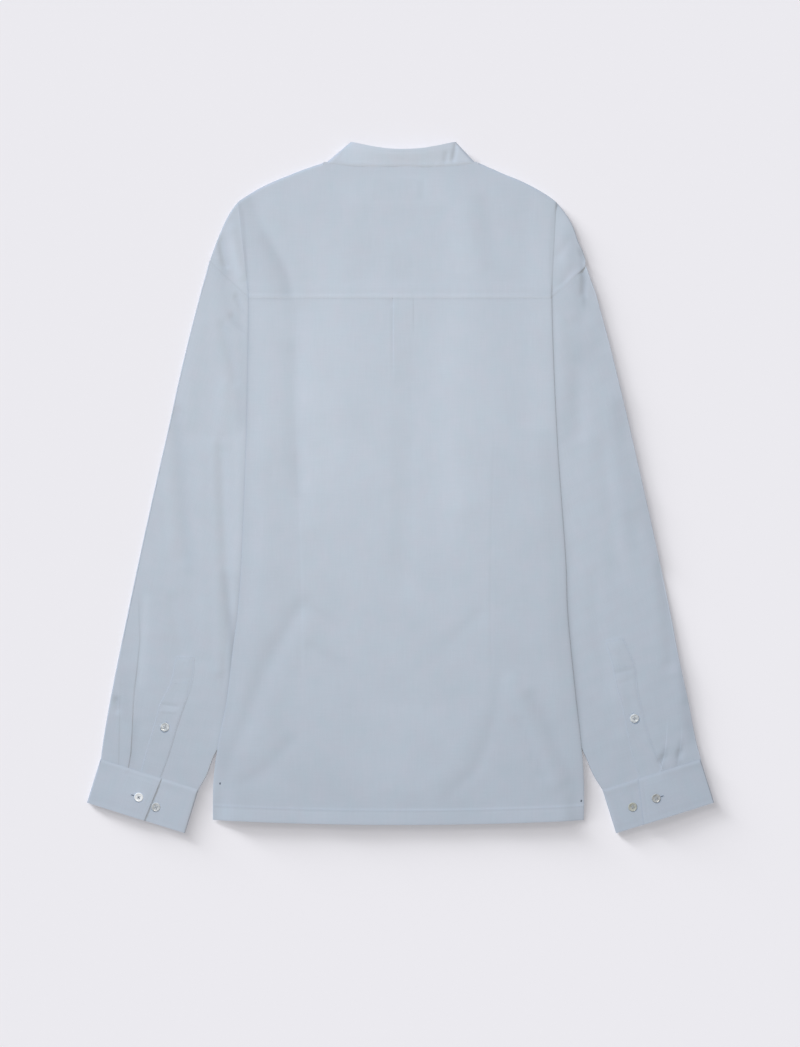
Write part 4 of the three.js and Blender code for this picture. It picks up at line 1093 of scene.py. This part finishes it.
def make_strip(side):
    strip = STRIPS[side]
    rows_out, rows_in = (through(np.array(strip[k], float), 24) for k in ("outer", "inner"))
    share = cosine(26)
    x = mix(rows_out[:, :1], rows_in[:, :1], share)
    y = mix(rows_out[:, 1:], rows_in[:, 1:], share)
    width = np.linalg.norm(rows_out - rows_in, axis=1)[:, None]
    down = steps_along(rows_out)[:, None]
    edge = np.minimum(share * width, (1 - share) * width)
    stitched = bell(edge - 1.8, 0.6) + bell(down - 1.8, 0.6)
    stitched = np.minimum(stitched + bell(down - strip["box_down"], 0.6), 1)
    if side == "left":
        merged = (share > 0.5) * (1 - smooth((down - 36) / 20))
    else:
        merged = 0.75 * (share < 0.5)
    thick = mix(FINE_EDGE, STRIP_THICK, smooth(edge / mix(1.6, 7.0, merged)))
    z = sleeve_height(side, x, y) + SHELL / 2 + CLEAR + thick / 2 - 0.08 * stitched * smooth(edge / 1.6)
    z = z + crease_sum(x, y, strip["folds"])
    outer_shade, inner_shade = strip["shade"]
    # Painted shade along the strip's outer and inner edges.
    tone = -0.02 * stitched - outer_shade * fade(share * width, 0.9)
    tone = tone - inner_shade * fade((1 - share) * width, 0.6) * smooth((down - 38) / 22)
    # Painted shade along a fold across the right strip.
    if side == "right":
        tone = tone - 0.03 * bell(down - strip["box_down"] - 13, 6.0)
    points = np.stack([x, y, z], 2)
    cut = np.stack([share * width, down + 0 * x], 2)
    return grid_object(f"shirt_sleeve_strip_{side}", points, thick, cut=cut, tone=tone), points


# Cuffs.
def cuff_place(side, along, down):
    c, n = math.cos(CUFF_TILT), math.sin(CUFF_TILT)
    x = CUFF_CORNER[0] - along * c + down * n
    return SIDES[side] * x, CUFF_CORNER[1] - along * n - down * c


CUFF_LAP = 1.3  # how far the cuffs run over the sleeve ends
CUFF_SLIT = {"left": (73.0, 68.6), "right": (74.5, 84.0)}
CUFF_SLIT_SHADE = 0.05
FAR_FOLD, NEAR_FOLD = 6 * PER_SPAN, 15 * PER_SPAN  # steps of the cuff's section at its two folds
# How much lighter each cuff is painted, as painted light.
CUFF_TONE = {"left": 0.05, "right": 0.015}


def cuff_section(slit):
    """The cuff seen from its end, from its inner end round the wrist to the slit: place and height."""
    low, mid = BAND_WALL / 2, CUFF_UPPER + BAND_WALL / 2
    high = mid + BAND_WALL + 0.1
    w = CUFF_WIDTH
    rows = [
        (slit - 22, mid), (slit, mid), ((slit + w - 24) * 0.5, mid), (w - 24, mid + 0.2),
        (w - 8, mid + 0.1), (w - 3.2, mid), (w - 0.7, mix(low, mid, 0.84)), (w, mix(low, mid, 0.5)),
        (w - 0.7, mix(low, mid, 0.16)), (w - 3.2, low), (w * 0.66, low), (w * 0.33, low), (3.4, low),
        (0.8, mix(low, mid, 0.2)), (0, mix(low, mid, 0.6)), (0.8, mid + 0.05), (3.4, mid + 0.45),
        ((slit - 24) * 0.5, mid + 1.0), (slit - 26, high - 0.1), (slit - 12, high),
        (slit - 4, high - 0.1), (slit, high - 0.3),
    ]
    return through(np.array(rows, float), PER_SPAN)


def make_cuff(side):
    down = mix(-CUFF_LAP, CUFF_DEPTH, joined(cosine(14) * 0.5, 0.5 + cosine(14) * 0.5))
    section = np.stack([cuff_section(mix(*CUFF_SLIT[side], d / CUFF_DEPTH)) for d in down])
    along = section[..., 0]
    d = np.broadcast_to(down[:, None], along.shape)
    x, y = cuff_place(side, along, d)
    slit = mix(*CUFF_SLIT[side], d / CUFF_DEPTH)
    count = along.shape[1]
    upper = np.arange(count) > NEAR_FOLD
    inner_end = np.arange(count) < FAR_FOLD
    shown = upper | (inner_end & (along > slit))
    from_seam = d + CUFF_LAP
    edge = np.minimum(from_seam, CUFF_DEPTH - d)
    edge = np.where(upper, np.minimum(edge, np.maximum(slit - along, 0)), edge)
    stitched = bell(edge - 5.0, 0.8)
    lapped = smooth((from_seam - 0.3) / 2.2)
    thick = np.where(shown, mix(FINE_EDGE, THICK_SHELL, lapped), THICK_SHELL)
    z = section[..., 1] - 0.1 * stitched * shown + 0.15 * shown * unevenness(x, y, 45, 6)
    on_sleeve = sleeve_height(side, x, y) + SHELL / 2 + CLEAR + thick / 2 + 0.45 * upper
    z = np.where(shown, mix(on_sleeve, z, smooth((from_seam - 1) / 11)), z)
    # Painted light over each cuff, and painted shade along its seam with the sleeve.
    tone = shown * (CUFF_TONE[side] - 0.005 * stitched - 0.05 * bell(from_seam - 1.2, 1.6))
    # Painted shade beside the slit.
    tone = tone - CUFF_SLIT_SHADE * inner_end * fade(along - slit, 1.2) * (along > slit - 1)
    # Painted shade along the seam and the stitched line of the left cuff's doubled part, and along the
    # right cuff's seam.
    if side == "left":
        doubled = shown * smooth((along - 31) / 2) * smooth((slit - along + 2) / 2)
        tone = tone - doubled * (0.05 * bell(from_seam - 0.7, 0.6) + 0.03 * bell(from_seam - 5.2, 1.0))
    else:
        tone = tone - 0.05 * shown * bell(from_seam - 1.6, 1.3)
    points = np.stack([x, y, z], 2)
    cut = np.stack([along + np.arange(count) * 0.8, d], 2)
    return grid_object(f"shirt_cuff_{side}", points, thick, cut=cut, tone=tone), points


def make_label():
    x0, x1, y0, y1 = LABEL_BOX
    x, y = np.meshgrid(np.linspace(x0, x1, 40), np.linspace(y1, y0, 18))
    low = np.zeros(x.shape, bool)
    z = yoke_height(x, y, low) - SHELL - LAYER_GAP
    points = np.stack([x, y, z], 2)
    return grid_object("shirt_neck_label", points, SHELL), points


# Stitches: short rounded threads, half sunk in the cloth.
def ring_faces(rings, sides):
    """Faces between rings of points that follow each other."""
    faces = []
    for r in range(rings - 1):
        for k in range(sides):
            n = (k + 1) % sides
            faces.append((r * sides + k, r * sides + n, (r + 1) * sides + n, (r + 1) * sides + k))
    return faces


def stitch_shape():
    sides, rings = 6, [(-1.0, 0.25), (-0.55, 0.9), (0.0, 1.0), (0.55, 0.9), (1.0, 0.25)]
    points = []
    for along, size in rings:
        for k in range(sides):
            a = 2 * math.pi * k / sides
            points.append((along, size * math.cos(a), size * math.sin(a)))
    faces = ring_faces(len(rings), sides)
    last = (len(rings) - 1) * sides
    faces += [(0, 5, 4, 3), (0, 3, 2, 1)]
    faces += [(last, last + 1, last + 2, last + 3), (last, last + 3, last + 4, last + 5)]
    return np.array(points), np.array(faces)


def place_along(line, steps, at):
    return np.array([np.interp(at, steps, line[:, axis]) for axis in range(3)])


def make_stitches(name, lines, length=1.9, step=2.7, radius=0.16, arch=0.08):
    """Rows of stitches along lines of points, each given as an array in millimetres."""
    shape, faces = stitch_shape()
    vertices, all_faces = [], []
    for line in lines:
        line = np.asarray(line, float)
        steps = steps_along(line)
        count = int(steps[-1] // step)
        for k in range(count):
            at = (k + 0.5) * step
            a, b = (place_along(line, steps, at + end) for end in (-length / 2, length / 2))
            way = b - a
            size = np.linalg.norm(way)
            if size < 1e-6:
                continue
            way /= size
            across = np.cross((0, 0, 1.0), way)
            across /= max(np.linalg.norm(across), 1e-9)
            up = np.cross(way, across)
            rise = arch * (1 - shape[:, 0] ** 2)
            p = (a + b) / 2 + np.outer(shape[:, 0] * length / 2, way)
            p = p + np.outer(shape[:, 1] * radius, across) + np.outer(shape[:, 2] * radius + rise, up)
            all_faces.append(faces + len(vertices) * len(shape))
            vertices.append(p)
    vertices = (np.concatenate(vertices) + OFFSET) * MM
    mesh = smooth_mesh(name, vertices, np.concatenate(all_faces).tolist())
    mesh.validate()
    mesh.update()
    return add_object(name, mesh)


# Buttons.
HOLE_AWAY = 1.15  # how far the holes are from the middle, along x and y
HOLE_TOP = 1.78  # height of the button's face at its middle


def button_mesh():
    """A dished button with a rim and four holes, lying with its face up."""
    r, t = BUTTON_RADIUS, 2.2
    profile = [
        (0, 0.35), (1.0, 0.3), (3.2, 0.1), (4.2, 0.15), (4.9, 0.5), (r, 0.98), (5.22, 1.35), (5.0, 1.75),
        (4.7, t - 0.08), (4.35, t), (4.0, t - 0.12), (3.7, 1.98), (3.4, 1.86), (2.6, 1.8), (0, HOLE_TOP),
    ]
    sides = 64
    points, faces = [], []
    for px, pz in profile:
        if px == 0:
            points.append((0, 0, pz))
            continue
        for k in range(sides):
            a = 2 * math.pi * k / sides
            points.append((px * math.cos(a), px * math.sin(a), pz))
    starts = [0] + [1 + k * sides for k in range(len(profile) - 2)]
    end = len(points) - 1
    for k in range(sides):
        n = (k + 1) % sides
        faces.append((0, starts[1] + n, starts[1] + k))
        faces.append((end, starts[-1] + k, starts[-1] + n))
        for a, b in zip(starts[1:-1], starts[2:]):
            faces.append((a + k, a + n, b + n, b + k))
    mesh = bpy.data.meshes.new("shirt_button")
    mesh.from_pydata([tuple(v * MM for v in p) for p in points], [], faces)
    body = add_object("shirt_button_blank", mesh)
    drills = []
    for x, y in ((-1, -1), (-1, 1), (1, -1), (1, 1)):
        place = (x * HOLE_AWAY * MM, y * HOLE_AWAY * MM, 1 * MM)
        bpy.ops.mesh.primitive_cylinder_add(vertices=20, radius=0.62 * MM, depth=6 * MM, location=place)
        drills.append(bpy.context.active_object)
    for drill in drills:
        cut = body.modifiers.new("hole", "BOOLEAN")
        cut.operation = "DIFFERENCE"
        cut.solver = "EXACT"
        cut.object = drill
    shape = bpy.data.meshes.new_from_object(body.evaluated_get(bpy.context.evaluated_depsgraph_get()))
    shape.name = "shirt_button"
    for thing in [body, *drills]:
        bpy.data.objects.remove(thing, do_unlink=True)
    shape.polygons.foreach_set("use_smooth", np.ones(len(shape.polygons), bool))
    shape.set_sharp_from_angle(angle=math.radians(38))
    return shape


def thread_tube(points, radius, sides=8):
    """Vertices and faces of a closed tube along a few points, in millimetres."""
    points = np.asarray(points, float)
    way = np.gradient(points, axis=0)
    way /= np.linalg.norm(way, axis=1)[:, None]
    helper = np.array([0.3, 0.7, 0.1])
    first = np.cross(way, helper)
    first /= np.linalg.norm(first, axis=1)[:, None]
    second = np.cross(way, first)
    angles = 2 * math.pi * np.arange(sides) / sides
    rings = points[:, None] + radius * (
        first[:, None] * np.cos(angles)[None, :, None] + second[:, None] * np.sin(angles)[None, :, None]
    )
    faces = ring_faces(len(points), sides)
    faces.append(list(range(sides))[::-1])
    faces.append([(len(points) - 1) * sides + k for k in range(sides)])
    return rings.reshape(-1, 3), faces


def turned_by(turn, points):
    """Points turned about the upright axis, without their heights changed."""
    c, s = math.cos(turn), math.sin(turn)
    x, y, z = points.T
    return np.stack([x * c - y * s, x * s + y * c, z], 1)


def make_button_thread(name, centre, under, turn):
    """Two crossed threads through the four holes, and the shank that sews the button down."""
    vertices, faces = [], []
    for kind in (1, -1):
        for shift in (-0.16, 0.16):
            a = np.array([HOLE_AWAY, HOLE_AWAY * kind, 0])
            across = np.array([-a[1], a[0], 0]) / 1.63 * shift
            half = [(0.72, 1.98), (1, HOLE_TOP), (1, -0.3)]
            stops = [(-share, up) for share, up in half[::-1]] + [(0, 2.04 + 0.06 * kind)] + half
            path = [a * share + across + (0, 0, up) for share, up in stops]
            p, f = thread_tube(path, 0.2)
            faces += [[v + len(vertices) for v in face] for face in f]
            vertices += list(p)
    p = (turned_by(turn, np.array(vertices)) + np.array([centre[0], centre[1], under]) + OFFSET) * MM
    return add_object(name, smooth_mesh(name, p, faces))


# Materials.
def new_material(name, inputs):
    """A material, its nodes and its shader, with some of the shader's values given."""
    material = bpy.data.materials.new(name)
    material.use_nodes = True
    shader = material.node_tree.nodes["Principled BSDF"]
    for key, value in inputs.items():
        shader.inputs[key].default_value = value
    return material, material.node_tree, shader


def node_of(tree, kind, inputs=None, **settings):
    node = tree.nodes.new(kind)
    for key, value in settings.items():
        setattr(node, key, value)
    for key, value in (inputs or {}).items():
        node.inputs[key].default_value = value
    return node


def mixed(tree, factor, first, second):
    """A colour between two others."""
    node = node_of(tree, "ShaderNodeMix", data_type="RGBA")
    tree.links.new(factor, node.inputs["Factor"])
    node.inputs["A"].default_value = (*first, 1)
    node.inputs["B"].default_value = (*second, 1)
    return node.outputs["Result"]


def solid_noise(tree, inputs):
    """Noise that fills the space that an object takes up."""
    place = node_of(tree, "ShaderNodeTexCoord")
    noise = node_of(tree, "ShaderNodeTexNoise", inputs)
    tree.links.new(place.outputs["Object"], noise.inputs["Vector"])
    return noise.outputs["Fac"]


def cloth_material(name, colour, weave=0.42):
    """Plain-woven cotton: a fine weave with slubs, a soft sheen, and cloudy depth of colour."""
    values = {"Roughness": 0.88, "Sheen Weight": 0.12, "Sheen Roughness": 0.5, "Specular IOR Level": 0.25}
    material, tree, shader = new_material(name, values)
    link = tree.links.new
    place = node_of(tree, "ShaderNodeUVMap", uv_map="cut")

    def wave(axis):
        values = {"Scale": 0.314 / (weave * MM), "Distortion": 0.6, "Detail": 1.0, "Detail Scale": 0.4}
        node = node_of(
            tree, "ShaderNodeTexWave", values, wave_type="BANDS", bands_direction=axis, wave_profile="SIN"
        )
        link(place.outputs["UV"], node.inputs["Vector"])
        return node.outputs["Fac"]

    def streaks(x_size, y_size, detail):
        scale = node_of(tree, "ShaderNodeMapping", {"Scale": (1 / (x_size * MM), 1 / (y_size * MM), 1)})
        link(place.outputs["UV"], scale.inputs["Vector"])
        noise = node_of(tree, "ShaderNodeTexNoise", {"Scale": 1.0, "Detail": detail})
        link(scale.outputs["Vector"], noise.inputs["Vector"])
        return noise.outputs["Fac"]

    def scaled(source, depth):
        node = node_of(tree, "ShaderNodeMapRange", {"To Min": 1 - depth, "To Max": 1 + depth})
        link(source, node.inputs["Value"])
        return node.outputs["Result"]

    def worked_out(operation, *values):
        node = node_of(tree, "ShaderNodeMath", operation=operation)
        for k, value in enumerate(values):
            if isinstance(value, float):
                node.inputs[k].default_value = value
            else:
                link(value, node.inputs[k])
        return node.outputs["Value"]

    threads = worked_out("MULTIPLY", wave("X"), wave("Y"))
    upright, level, cloud = streaks(1.6, 30, 3), streaks(26, 1.8, 3), streaks(46, 60, 3)
    # The tone attribute brings in painted light and painted shade, and the deeper colour where cloth is
    # doubled.
    tone = node_of(tree, "ShaderNodeAttribute", attribute_name="tone")
    light = worked_out("ADD", 1.0, tone.outputs["Fac"])
    for part, depth in ((threads, 0.025), (upright, 0.028), (level, 0.022), (cloud, 0.035)):
        light = worked_out("MULTIPLY", light, scaled(part, depth))
    cold = [c * f for c, f in zip(colour, (0.955, 1.005, 1.0))]
    warm = [c * f for c, f in zip(colour, (1.045, 0.995, 1.0))]
    shade = node_of(tree, "ShaderNodeVectorMath", operation="SCALE")
    link(mixed(tree, streaks(17, 24, 4), cold, warm), shade.inputs[0])
    link(light, shade.inputs["Scale"])
    link(shade.outputs["Vector"], shader.inputs["Base Color"])
    relief = node_of(tree, "ShaderNodeBump", {"Strength": 0.35, "Distance": 0.06 * MM})
    link(worked_out("MULTIPLY_ADD", upright, 0.8, threads), relief.inputs["Height"])
    link(relief.outputs["Normal"], shader.inputs["Normal"])
    return material


def thread_material(name, colour):
    material, tree, shader = new_material(name, {"Roughness": 0.7, "Sheen Weight": 0.2})
    noise = solid_noise(tree, {"Scale": 1 / (0.5 * MM)})
    mix_out = mixed(tree, noise, [c * 0.93 for c in colour], [min(1, c * 1.07) for c in colour])
    tree.links.new(mix_out, shader.inputs["Base Color"])
    return material


def pearl_material(name, dark, light):
    """Pearly button: cloudy bands from dark to light under a clear polish."""
    values = {"Roughness": 0.22, "Coat Weight": 0.6, "Coat Roughness": 0.08}
    material, tree, shader = new_material(name, values)
    noise = solid_noise(tree, {"Scale": 1 / (5 * MM), "Detail": 4, "Distortion": 1.6})
    ramp = node_of(tree, "ShaderNodeValToRGB")
    for stop, at, colour in zip(ramp.color_ramp.elements, (0.35, 0.62), (dark, light)):
        stop.position = at
        stop.color = (*colour, 1)
    tree.links.new(noise, ramp.inputs["Fac"])
    tree.links.new(ramp.outputs["Color"], shader.inputs["Base Color"])
    return material


SHIRTING = cloth_material("shirting", (0.530, 0.582, 0.660))
LABEL = cloth_material("label_cloth", (0.70, 0.72, 0.76), weave=0.3)
THREAD = thread_material("sewing_thread", (0.53, 0.58, 0.66))
BUTTON_THREAD = thread_material("button_thread", (0.40, 0.42, 0.45))
DARK_THREAD = thread_material("dark_button_thread", (0.07, 0.09, 0.12))
# Dark thread for the bar-tacks, also used as painted shade in the buttonholes' open ends.
TACK_THREAD_AND_SLIT_SHADE = thread_material("tack_thread_and_slit_shade", (0.10, 0.12, 0.16))
PEARLS = {
    "white": pearl_material("pearl_white", (0.93, 0.94, 0.95), (1.0, 1.0, 1.0)),
    "grey": pearl_material("pearl_grey", (0.44, 0.46, 0.47), (0.80, 0.82, 0.83)),
    "dim": pearl_material("pearl_dim", (0.38, 0.38, 0.37), (0.56, 0.56, 0.55)),
    "beige": pearl_material("pearl_beige", (0.43, 0.44, 0.38), (0.60, 0.60, 0.54)),
}


def dress(piece, material):
    piece.data.materials.clear()
    piece.data.materials.append(material)
    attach(piece, "root")


# The pieces and what they stand for.
pieces = {}


def add_cloth(made, nodes, material=SHIRTING):
    piece, points = made
    dress(piece, material)
    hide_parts(*nodes)
    pieces[piece.name] = points
    return piece


back = add_cloth(make_back(), ["back"])
yoke = add_cloth(make_yoke(), ["yoke"])
band = add_cloth(make_band(), ["collar_band"])
label = add_cloth(make_label(), ["neck_label"], LABEL)
fronts, sleeves, strips, cuffs = {}, {}, {}, {}
for side in SIDES:
    fronts[side] = add_cloth(make_front(side), [f"front_{side}"])
    sleeves[side] = add_cloth(make_sleeve(side), [f"sleeve_{side}"])
    strips[side] = add_cloth(make_strip(side), [f"sleeve_placket_{side}"])
    cuffs[side] = add_cloth(make_cuff(side), [f"cuff_{side}"])


# Rows of stitches.
SUNK = 0.04


def back_stitches():
    points = pieces["shirt_back"]
    return [points[-HEM_ROWS] + (0, 0, (SHELL + HEM_EXTRA) / 2 - SUNK)]


def yoke_stitches():
    points = pieces["shirt_yoke"]
    shown = slice(HEAD_COLUMNS + 1, -HEAD_COLUMNS - 1)
    from_seam = points[WRAP_ROWS:, shown, 1].mean(1) - YOKE_SEAM_Y
    i = int(np.argmin(np.abs(from_seam - YOKE_STITCH))) + WRAP_ROWS
    return [points[i, shown] + (0, 0, SHELL / 2 - SUNK)]


def band_stitches():
    points = pieces["shirt_collar_band"]
    at_front = 6 * PER_SPAN + 4  # columns of each front end
    shown = slice(at_front, points.shape[1] - at_front)
    return [points[i, shown] + (0, 0, THICK_SHELL / 2 - SUNK) for i in (4, 12)]


def strip_stitches(side):
    points = pieces[f"shirt_sleeve_strip_{side}"]
    top = SHELL / 2 + 0.18 - SUNK
    box_row = 26
    lines = [points[3:, 4] + (0, 0, top), points[3:, -5] + (0, 0, top)]
    lines += [points[3, 4:-4] + (0, 0, top), points[box_row, 4:-4] + (0, 0, top)]
    return lines


def cuff_stitches(side):
    points = pieces[f"shirt_cuff_{side}"]
    top = THICK_SHELL / 2 - SUNK
    rows = points.shape[0]
    lines = []
    for i in (6, rows - 7):
        lines.append(points[i, NEAR_FOLD + PER_SPAN:-6] + (0, 0, top))
        lines.append(points[i, FAR_FOLD - 3 * PER_SPAN:FAR_FOLD - PER_SPAN] + (0, 0, top))
    lines.append(points[6:rows - 6, -7] + (0, 0, top))
    return lines


def armhole_stitches(side):
    points = pieces[f"shirt_sleeve_{side}"]
    count = sum(SLEEVE_COUNTS) + 1
    rows = points[:14, :count]
    from_seam = armhole_y(rows[..., 0]) - rows[..., 1]
    line = []
    for j in range(3, count):
        if abs(rows[0, j, 0]) < 178:
            break
        line.append([np.interp(STITCH_LINE, from_seam[:, j], rows[:, j, k]) for k in range(3)])
    return [np.array(line) + (0, 0, SHELL / 2 - SUNK)]


all_lines = back_stitches() + yoke_stitches() + band_stitches()
for side in SIDES:
    all_lines += strip_stitches(side) + cuff_stitches(side) + armhole_stitches(side)
stitches = make_stitches("shirt_stitches", all_lines)
dress(stitches, THREAD)

# Bar-tacks at the tops of the side slits, the buttonholes that show beside the buttons, and a dark
# thread in the open end of each cuff's buttonhole as painted shade.
TACKS = [((-207.6, -339.9), 80, 2.0), ((208, -360), 80, 2.0)]  # middle, direction and length
FASTENED_AT = {"left": (-301, -355.6), "right": (293.9, -356.7)}
STRIP_BUTTON_AT = {"left": (-271, -275), "right": (269, -265)}
HOLE_LENGTH = 13
HOLE_SHIFT = 3.2  # how far the middle of a cuff's buttonhole is from the middle of its button
HOLE_END = (5.6, 9.2)  # where the dark thread of painted shade in its open end starts and stops


def surface_height(name, x, y):
    """Height of the upper side of a piece's grid near a point."""
    points = pieces[name].reshape(-1, 3)
    d = (points[:, 0] - x) ** 2 + (points[:, 1] - y) ** 2
    near = points[d < max(6.0, d.min() * 1.5)]
    return float(near[:, 2].max())


def cross_lines(centre, angle, length, base, count, lanes, half):
    """Short lines across a longer one, for the close stitches of a bar-tack or a buttonhole."""
    way = np.array([math.cos(math.radians(angle)), math.sin(math.radians(angle))])
    across = np.array([-way[1], way[0]])
    lines = []
    for k in np.linspace(-length / 2, length / 2, count):
        for lane in lanes:
            p = np.array(centre) + way * k + across * lane
            lines.append(np.array([[*(p - across * half), base], [*(p + across * half), base]]))
    return lines


tack_rows = []
for (x, y), angle, length in TACKS:
    base = surface_height("shirt_back", x, y) + SHELL / 2
    tack_rows += cross_lines((x, y), angle, length, base, 7, (0,), 0.8)
tacks = make_stitches("shirt_bar_tacks", tack_rows, length=1.7, step=1.55, radius=0.2, arch=0.1)
dress(tacks, TACK_THREAD_AND_SLIT_SHADE)


def buttonhole_lines(centre, angle, base):
    """Close stitches down both sides of a buttonhole."""
    return cross_lines(centre, angle, HOLE_LENGTH, base, int(HOLE_LENGTH / 0.42), (-0.75, 0.75), 0.6)


hole_rows, slit_shade_rows = [], []
for side, s in SIDES.items():
    tilt = CUFF_TILT * s
    x, y = FASTENED_AT[side]
    base = surface_height(f"shirt_cuff_{side}", x, y) + THICK_SHELL / 2 - 0.05
    centre = (x + s * HOLE_SHIFT * math.cos(tilt), y + HOLE_SHIFT * math.sin(CUFF_TILT))
    hole_rows += buttonhole_lines(centre, math.degrees(tilt), base)
    way = np.array([math.cos(tilt), math.sin(tilt)])
    slit_shade_rows.append(np.array([[*(np.array((x, y)) + s * way * far), base + 0.1] for far in HOLE_END]))
    x, y = STRIP_BUTTON_AT[side]
    base = surface_height(f"shirt_sleeve_strip_{side}", x, y) + 0.35
    hole_rows += buttonhole_lines((x, y), 90 + 17 * s, base)
holes = make_stitches("shirt_buttonholes", hole_rows, length=1.25, step=1.15, radius=0.17, arch=0.08)
dress(holes, THREAD)
# A dark thread lies in each cuff buttonhole's open end as painted shade.
slit_shade = make_stitches("shirt_buttonhole_slit_shade", slit_shade_rows, length=3.4, step=3.5, radius=0.5, arch=0)
dress(slit_shade, TACK_THREAD_AND_SLIT_SHADE)

# Buttons, each with its thread.
BUTTON = button_mesh()
BUTTON.materials.clear()


def add_button(node, turn, pearl="white", tip=(0.0, 0.0)):
    low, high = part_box(node)
    centre = ((low[0] + high[0]) / 2 / MM - OFFSET[0], (low[1] + high[1]) / 2 / MM - OFFSET[1])
    under = low[2] / MM
    shape = BUTTON.copy()
    shape.materials.append(PEARLS[pearl])
    points = np.zeros(len(shape.vertices) * 3)
    shape.vertices.foreach_get("co", points)
    turned = turned_by(turn, points.reshape(-1, 3))
    turned[:, 2] += turned[:, 0] * tip[0] + turned[:, 1] * tip[1]
    place = (np.array([centre[0], centre[1], under]) + OFFSET) * MM
    shape.vertices.foreach_set("co", (turned + place).ravel())
    piece = add_object(f"shirt_{node}", shape)
    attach(piece, "root")
    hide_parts(node)
    thread = make_button_thread(f"shirt_{node}_thread", centre, under, turn)
    dress(thread, DARK_THREAD if pearl == "white" else BUTTON_THREAD)


FASTENED_PEARL = {"left": "white", "right": "dim"}
SPARE_PEARL = {"left": "grey", "right": "beige"}
for side, s in SIDES.items():
    add_button(f"sleeve_placket_button_{side}", 0.5 + 0.3 * s, "grey", (0.05, -0.04))
    add_button(f"cuff_button_fastened_{side}", 0.3 * s, FASTENED_PEARL[side], (0.03, 0.02))
    add_button(f"cuff_button_spare_{side}", 0.9 - 0.2 * s, SPARE_PEARL[side], (-0.05, 0.06))
add_button("band_button", 0.2)
for k in range(6):
    add_button(f"front_button_{k + 1}", 0.3 * k)


# Table, light and camera.
FLOOR_SIZE = 12
FLOOR_HEIGHT = -0.0003  # just below the shirt


def make_floor():
    bpy.ops.mesh.primitive_plane_add(size=FLOOR_SIZE, location=(0, 0, FLOOR_HEIGHT))
    floor = bpy.context.active_object
    floor.name = "floor"
    values = {"Base Color": (0.848, 0.839, 0.881, 1), "Roughness": 0.95, "Specular IOR Level": 0.1}
    material = new_material("floor", values)[0]
    floor.data.materials.append(material)


make_floor()

world = bpy.data.worlds.new("studio")
world.use_nodes = True
background = world.node_tree.nodes["Background"]
background.inputs["Color"].default_value = (1.0, 1.0, 1.0, 1)
background.inputs["Strength"].default_value = 0.26
bpy.context.scene.world = world

# The table has lights of its own, because in the photo it is evenly bright beside a shirt that is not.
on_shirt = bpy.data.collections.new("lit_shirt")
on_table = bpy.data.collections.new("lit_table")
cloth_only = bpy.data.collections.new("cloth_that_shades")
for thing in bpy.context.scene.objects:
    if thing.type != "MESH":
        continue
    (on_table if thing.name == "floor" else on_shirt).objects.link(thing)
    if thing.name in pieces:
        cloth_only.objects.link(thing)


def add_sun(name, elevation, bearing, spread, share, receivers, colour=(1.0, 1.0, 1.0)):
    """A far light that adds a share of the full brightness to a level surface."""
    data = bpy.data.lights.new(name, "SUN")
    data.energy = math.pi * share / math.sin(math.radians(elevation))
    data.angle = math.radians(spread)
    data.color = colour
    light = add_object(name, data)
    light.rotation_euler = (0, math.radians(90 - elevation), math.radians(bearing))
    light.light_linking.receiver_collection = receivers
    return light


rake = add_sun("rake", 30, 128, 22, 0.24, on_shirt, (0.84, 1.0, 1.2))
rake.light_linking.blocker_collection = cloth_only  # the buttons' shadows in the photo are soft
add_sun("table_top", 90, 0, 10, 0.29, on_table)
add_sun("table_low", 6, 142, 10, 0.13, on_table)
add_sun("table_side", 10, 132, 16, 0.15, on_table)
add_sun("table_mid", 22, 136, 30, 0.15, on_table)

# A soft lamp above the upper left of the shirt, whose light falls off towards the lower right.
LAMP_PLACE = (-0.102, 0.162, 1.15)
LAMP_SHARE = 0.503
lamp_data = bpy.data.lights.new("lamp", "AREA")
lamp_data.shape = "DISK"
lamp_data.size = 0.35
lamp_data.color = (1.06, 1.0, 0.91)
lamp_data.energy = LAMP_SHARE * math.pi * math.pi * LAMP_PLACE[2] ** 2
lamp = add_object("lamp", lamp_data)
lamp.location = LAMP_PLACE
lamp.light_linking.receiver_collection = on_shirt

# The picture is 800 by 1047, and 1204 mm fill its height at the level of the cloth's upper side.
FRAME_HEIGHT = 1.204
CLOTH_LEVEL = 0.006
PICTURE_MIDDLE = (-0.0006, -0.0408)
LENS = 100
SENSOR = 36
CAMERA_HEIGHT = FRAME_HEIGHT * LENS / SENSOR + CLOTH_LEVEL
camera_data = bpy.data.cameras.new("camera")
camera_data.lens = LENS
camera_data.sensor_width = SENSOR
camera_data.clip_end = 50
camera = add_object("camera", camera_data)
middle_x, middle_y = (p + o * MM for p, o in zip(PICTURE_MIDDLE, OFFSET))
camera.location = (middle_x, middle_y, CAMERA_HEIGHT)
bpy.context.scene.camera = camera
bpy.context.scene.view_settings.view_transform = "Standard"
